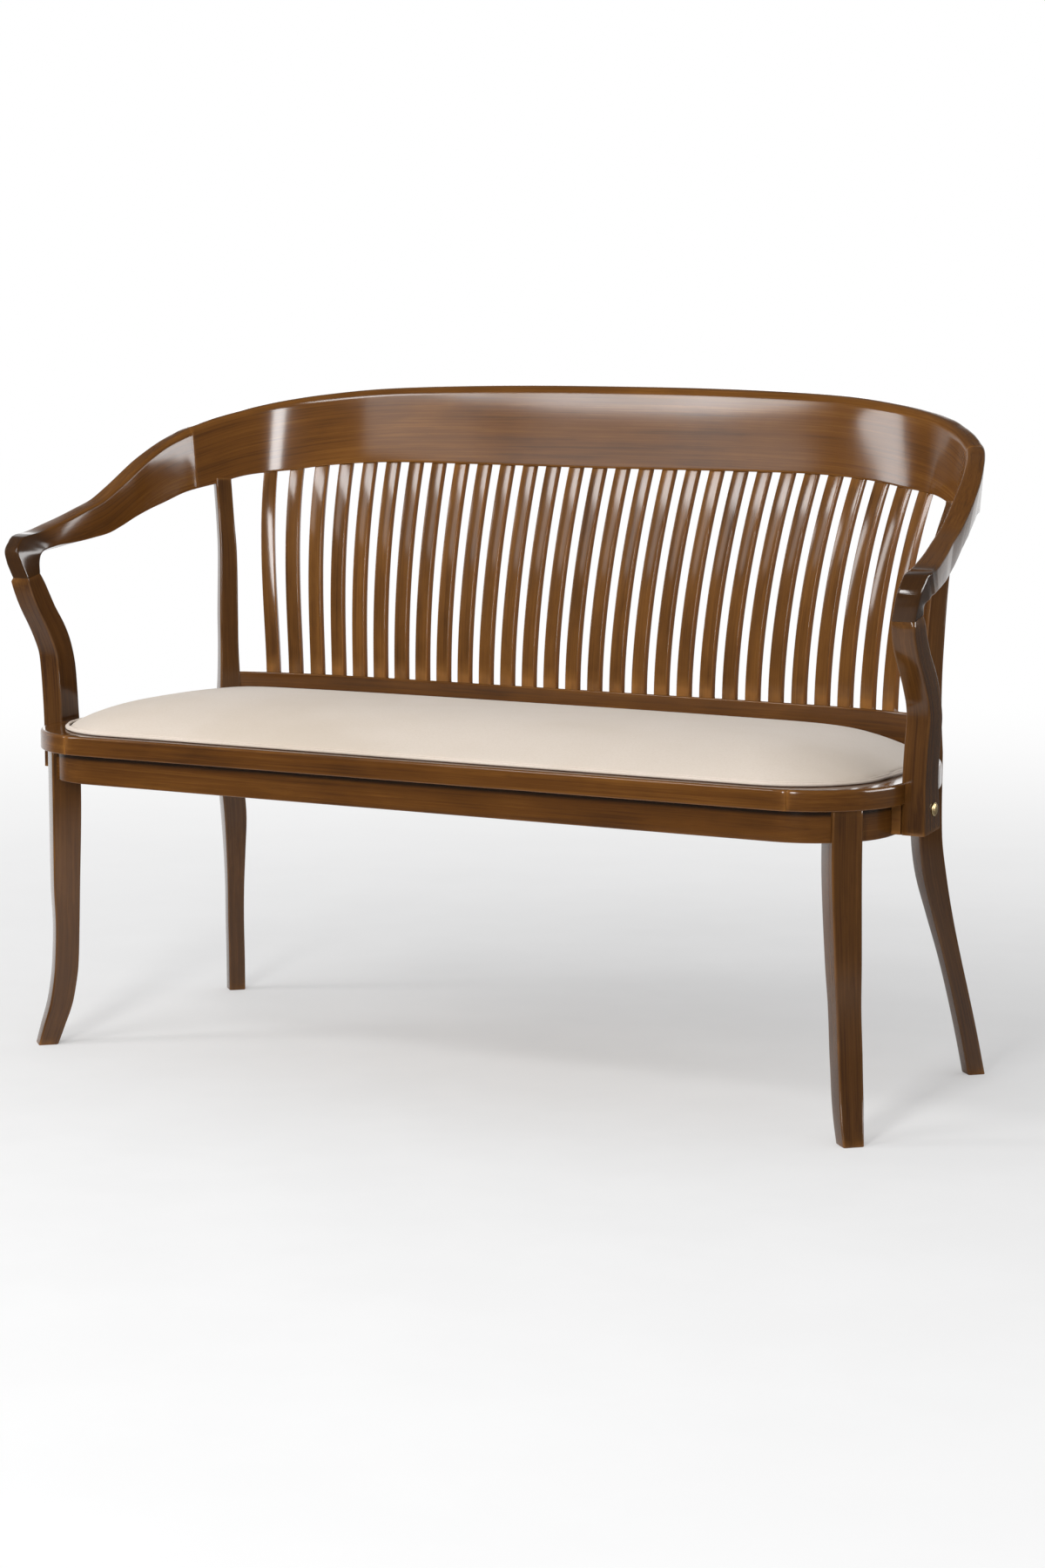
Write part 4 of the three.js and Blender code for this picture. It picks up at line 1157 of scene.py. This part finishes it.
def piping_rings(step=1.6, tack=29, turns=20):
    line = evenly_spaced(np.concatenate([pad_line, pad_line[:1]]), step)[:-1]
    way = np.roll(line, -1, 0) - np.roll(line, 1, 0)
    way /= np.linalg.norm(way, axis=1, keepdims=True)
    out = np.stack([way[:, 1], -way[:, 0]], -1)
    angles = np.linspace(0, math.tau, turns, endpoint=False)
    towards = np.stack([np.cos(angles), np.sin(angles)], -1)
    tacks = round(len(line) * step / tack)
    rings = []
    for k, (point, side) in enumerate(zip(line, out)):
        between = (tacks * k / len(line)) % 1
        swell = math.sin(math.pi * between ** 0.75) ** 0.7
        lip, fold = np.array([1.95, 3.5 + 0.45 * swell]), np.array([3.85, 1.95])
        middle = (lip + fold) / 2
        lip_reach = reach_of(lip - middle, mix(1.45, 1.7, swell), towards)
        reach = np.maximum(lip_reach, reach_of(fold - middle, 1.8, towards))
        shape = middle + towards * reach[:, None]
        rings.append(np.column_stack([point + side * shape[:, :1], pad_bottom + shape[:, 1]]))
    return rings


piping = skin("pad_piping_corded", piping_rings(), closed=True, sharp=80)
fit(piping, ["pad_piping"], piping_cloth)
print("piping has", len(piping.data.polygons), "faces")

# %% [markdown]
# ## The room
# A plain pale floor in a plain white room. Lacquer mirrors whatever stands round it, and
# a room that is white on all sides would lay a grey veil over the brown. So the
# room is white behind the settee and to its left, and dim in front and to the right, as
# a studio is on the photographer's side. One group says how bright the room is in each
# direction. Camera rays always see plain white.

# %% Room group
room, taken, given = group("white room", [
    ("Direction", "NodeSocketVector", None),
    ("Camera Sees", "NodeSocketFloat", 0.0),
], [("Colour", "NodeSocketColor")])
direction_only = {0: taken.outputs["Direction"], 1: (1, 1, 0)}
level = add(room, "ShaderNodeVectorMath", -1100, 0, direction_only, operation="MULTIPLY").outputs[0]
heading = add(room, "ShaderNodeVectorMath", -900, 0, {0: level}, operation="NORMALIZE").outputs[0]
wall_heading = math.radians(134)
to_white_wall = {0: heading, 1: (math.cos(wall_heading), math.sin(wall_heading), 0)}
facing = add(room, "ShaderNodeVectorMath", -700, 0, to_white_wall, operation="DOT_PRODUCT").outputs["Value"]
white_side = spread(room, facing, 0.5, 0.8, -500, 0)
height = add(room, "ShaderNodeSeparateXYZ", -900, -300, {"Vector": taken.outputs["Direction"]}).outputs[2]
low_part = spread(room, height, 0.5, 0.22, -500, -300)
wall = sums(room, "MULTIPLY", white_side, low_part, -250, -100)
bright = sums(room, "MAXIMUM", wall, taken.outputs["Camera Sees"], 0, 0)
room.links.new(blend_colour(room, bright, (0.1, 0.1, 0.1, 1), (1, 1, 1, 1), 250, 0), given.inputs["Colour"])
print("room group has", len(room.nodes), "nodes")


# %% Which rays see the room
def rays_that_look(tree, x, y):
    """Camera rays, and rays that were mirrored or came through glass."""
    path = add(tree, "ShaderNodeLightPath", x, y)
    glossy, passed = path.outputs["Is Glossy Ray"], path.outputs["Is Transmission Ray"]
    mirrored = sums(tree, "MAXIMUM", glossy, passed, x + 250, y)
    return path.outputs["Is Camera Ray"], mirrored


# %% Floor
def pale_floor():
    material = bpy.data.materials.new("pale floor")
    material.use_nodes = True
    tree = material.node_tree
    shader = tree.nodes["Principled BSDF"]
    output = tree.nodes["Material Output"]
    where = add(tree, "ShaderNodeTexCoord", -1200, 0).outputs["Object"]
    dapple = stretched_noise(tree, where, (5, 5, 5), 4, -900, 0)
    darker, paler = (0.83, 0.826, 0.82, 1), (0.86, 0.856, 0.85, 1)
    colour = blend_colour(tree, spread(tree, dapple, 0.3, 0.7, -600, 0), darker, paler, -400, 0)
    tree.links.new(colour, shader.inputs["Base Color"])
    shader.inputs["Roughness"].default_value = 0.85
    shader.inputs["Specular IOR Level"].default_value = 0.1
    camera_sees, mirrored = rays_that_look(tree, -1400, -600)
    around = use(tree, room, -600, -500, {"Direction": where, "Camera Sees": camera_sees})
    glow = add(tree, "ShaderNodeEmission", 100, -300, {"Color": around.outputs["Colour"], "Strength": 1.0})
    distance = add(tree, "ShaderNodeVectorMath", -900, -300, {0: where}, operation="LENGTH").outputs["Value"]
    seen_fade = sums(tree, "MULTIPLY", spread(tree, distance, -1.5, 4.0, -600, -300), camera_sees, -300, -300)
    mirror_fade = sums(tree, "MULTIPLY", spread(tree, distance, 0.5, 1.7, -600, -700), mirrored, -300, -700)
    fade = sums(tree, "MAXIMUM", seen_fade, mirror_fade, -100, -400)
    both = add(tree, "ShaderNodeMixShader", 350, 0, {0: fade, 1: shader.outputs[0], 2: glow.outputs[0]})
    tree.links.new(both.outputs[0], output.inputs["Surface"])
    return material


floor_mesh = bpy.data.meshes.new("floor")
floor_mesh.from_pydata([(-9, -9, 0), (9, -9, 0), (9, 9, 0), (-9, 9, 0)], [], [(0, 1, 2, 3)])
floor_mesh.materials.append(pale_floor())
floor = bpy.data.objects.new("floor", floor_mesh)
bpy.context.scene.collection.objects.link(floor)
print("floor is 18 m square")

# %% World
world = bpy.data.worlds.new("soft room")
bpy.context.scene.world = world
world.use_nodes = True
sky = world.node_tree
background = sky.nodes["Background"]
background.inputs["Color"].default_value = (0.97, 0.98, 1, 1)
background.inputs["Strength"].default_value = 0.55
camera_sees, mirrored = rays_that_look(sky, -1000, 300)
looks = sums(sky, "MAXIMUM", camera_sees, mirrored, -200, 300)
direction = add(sky, "ShaderNodeTexCoord", -1000, -200).outputs["Generated"]
around = use(sky, room, -500, -200, {"Direction": direction, "Camera Sees": camera_sees})
seen = add(sky, "ShaderNodeBackground", 0, -200, {"Color": around.outputs["Colour"], "Strength": 1.0})
chosen = add(sky, "ShaderNodeMixShader", 250, 0, {0: looks, 1: background.outputs[0], 2: seen.outputs[0]})
sky.links.new(chosen.outputs[0], sky.nodes["World Output"].inputs["Surface"])
print("world lights at", background.inputs["Strength"].default_value)

# %% [markdown]
# ## Lamps
# The lacquer in the photo mirrors several windows. Traced back from the crest and the
# arms, they stand in front, to the left, above the front and behind to the right, and
# the wall behind is brighter than white. The first three light the settee. The others
# are seen in the gloss only, so that they don't flatten the shading.

# %% Softboxes
def softbox(name, seen_from, heading, rise, distance, size, radiance, gloss_only=False):
    """A soft lamp in a direction from a point, given as heading and rise in degrees."""
    data = bpy.data.lights.new(name, "AREA")
    data.shape = "RECTANGLE"
    data.size, data.size_y = size
    data.energy = radiance * math.pi * size[0] * size[1]
    turn, lift = math.radians(heading), math.radians(rise)
    way = Vector((math.cos(turn) * math.cos(lift), math.sin(turn) * math.cos(lift), math.sin(lift)))
    lamp = bpy.data.objects.new(name, data)
    lamp.location = Vector(seen_from) + way * distance
    lamp.rotation_euler = (-way).to_track_quat("-Z", "Y").to_euler()
    lamp.visible_camera = False
    lamp.visible_diffuse = not gloss_only
    bpy.context.scene.collection.objects.link(lamp)
    print(name, "gives", round(data.energy), "W from", [round(c, 1) for c in lamp.location])


softbox("window_front", (-0.33, 0.19, 0.79), -76, 16, 4.0, (0.6, 1.8), 18)
softbox("window_left", (0.43, 0.15, 0.79), -147, 15, 3.4, (0.55, 1.3), 8.5)
softbox("skylight", (-0.06, 0.19, 0.8), -113.5, 38.5, 3.0, (1.0, 0.42), 13)
softbox("curtain", (-0.06, 0.19, 0.8), -117, 27, 3.0, (0.5, 0.7), 2.1, gloss_only=True)
softbox("window_behind", (-0.56, 0.05, 0.7), 15, 7, 3.6, (2.5, 1.3), 10, gloss_only=True)
softbox("window_low", (0.58, -0.13, 0.66), -86, -1, 3.0, (0.3, 0.3), 8, gloss_only=True)
softbox("wall_behind", (0, 0.2, 0.6), 121, 8, 3.5, (2.4, 1.1), 1.2, gloss_only=True)
bpy.context.scene.view_settings.view_transform = "Standard"
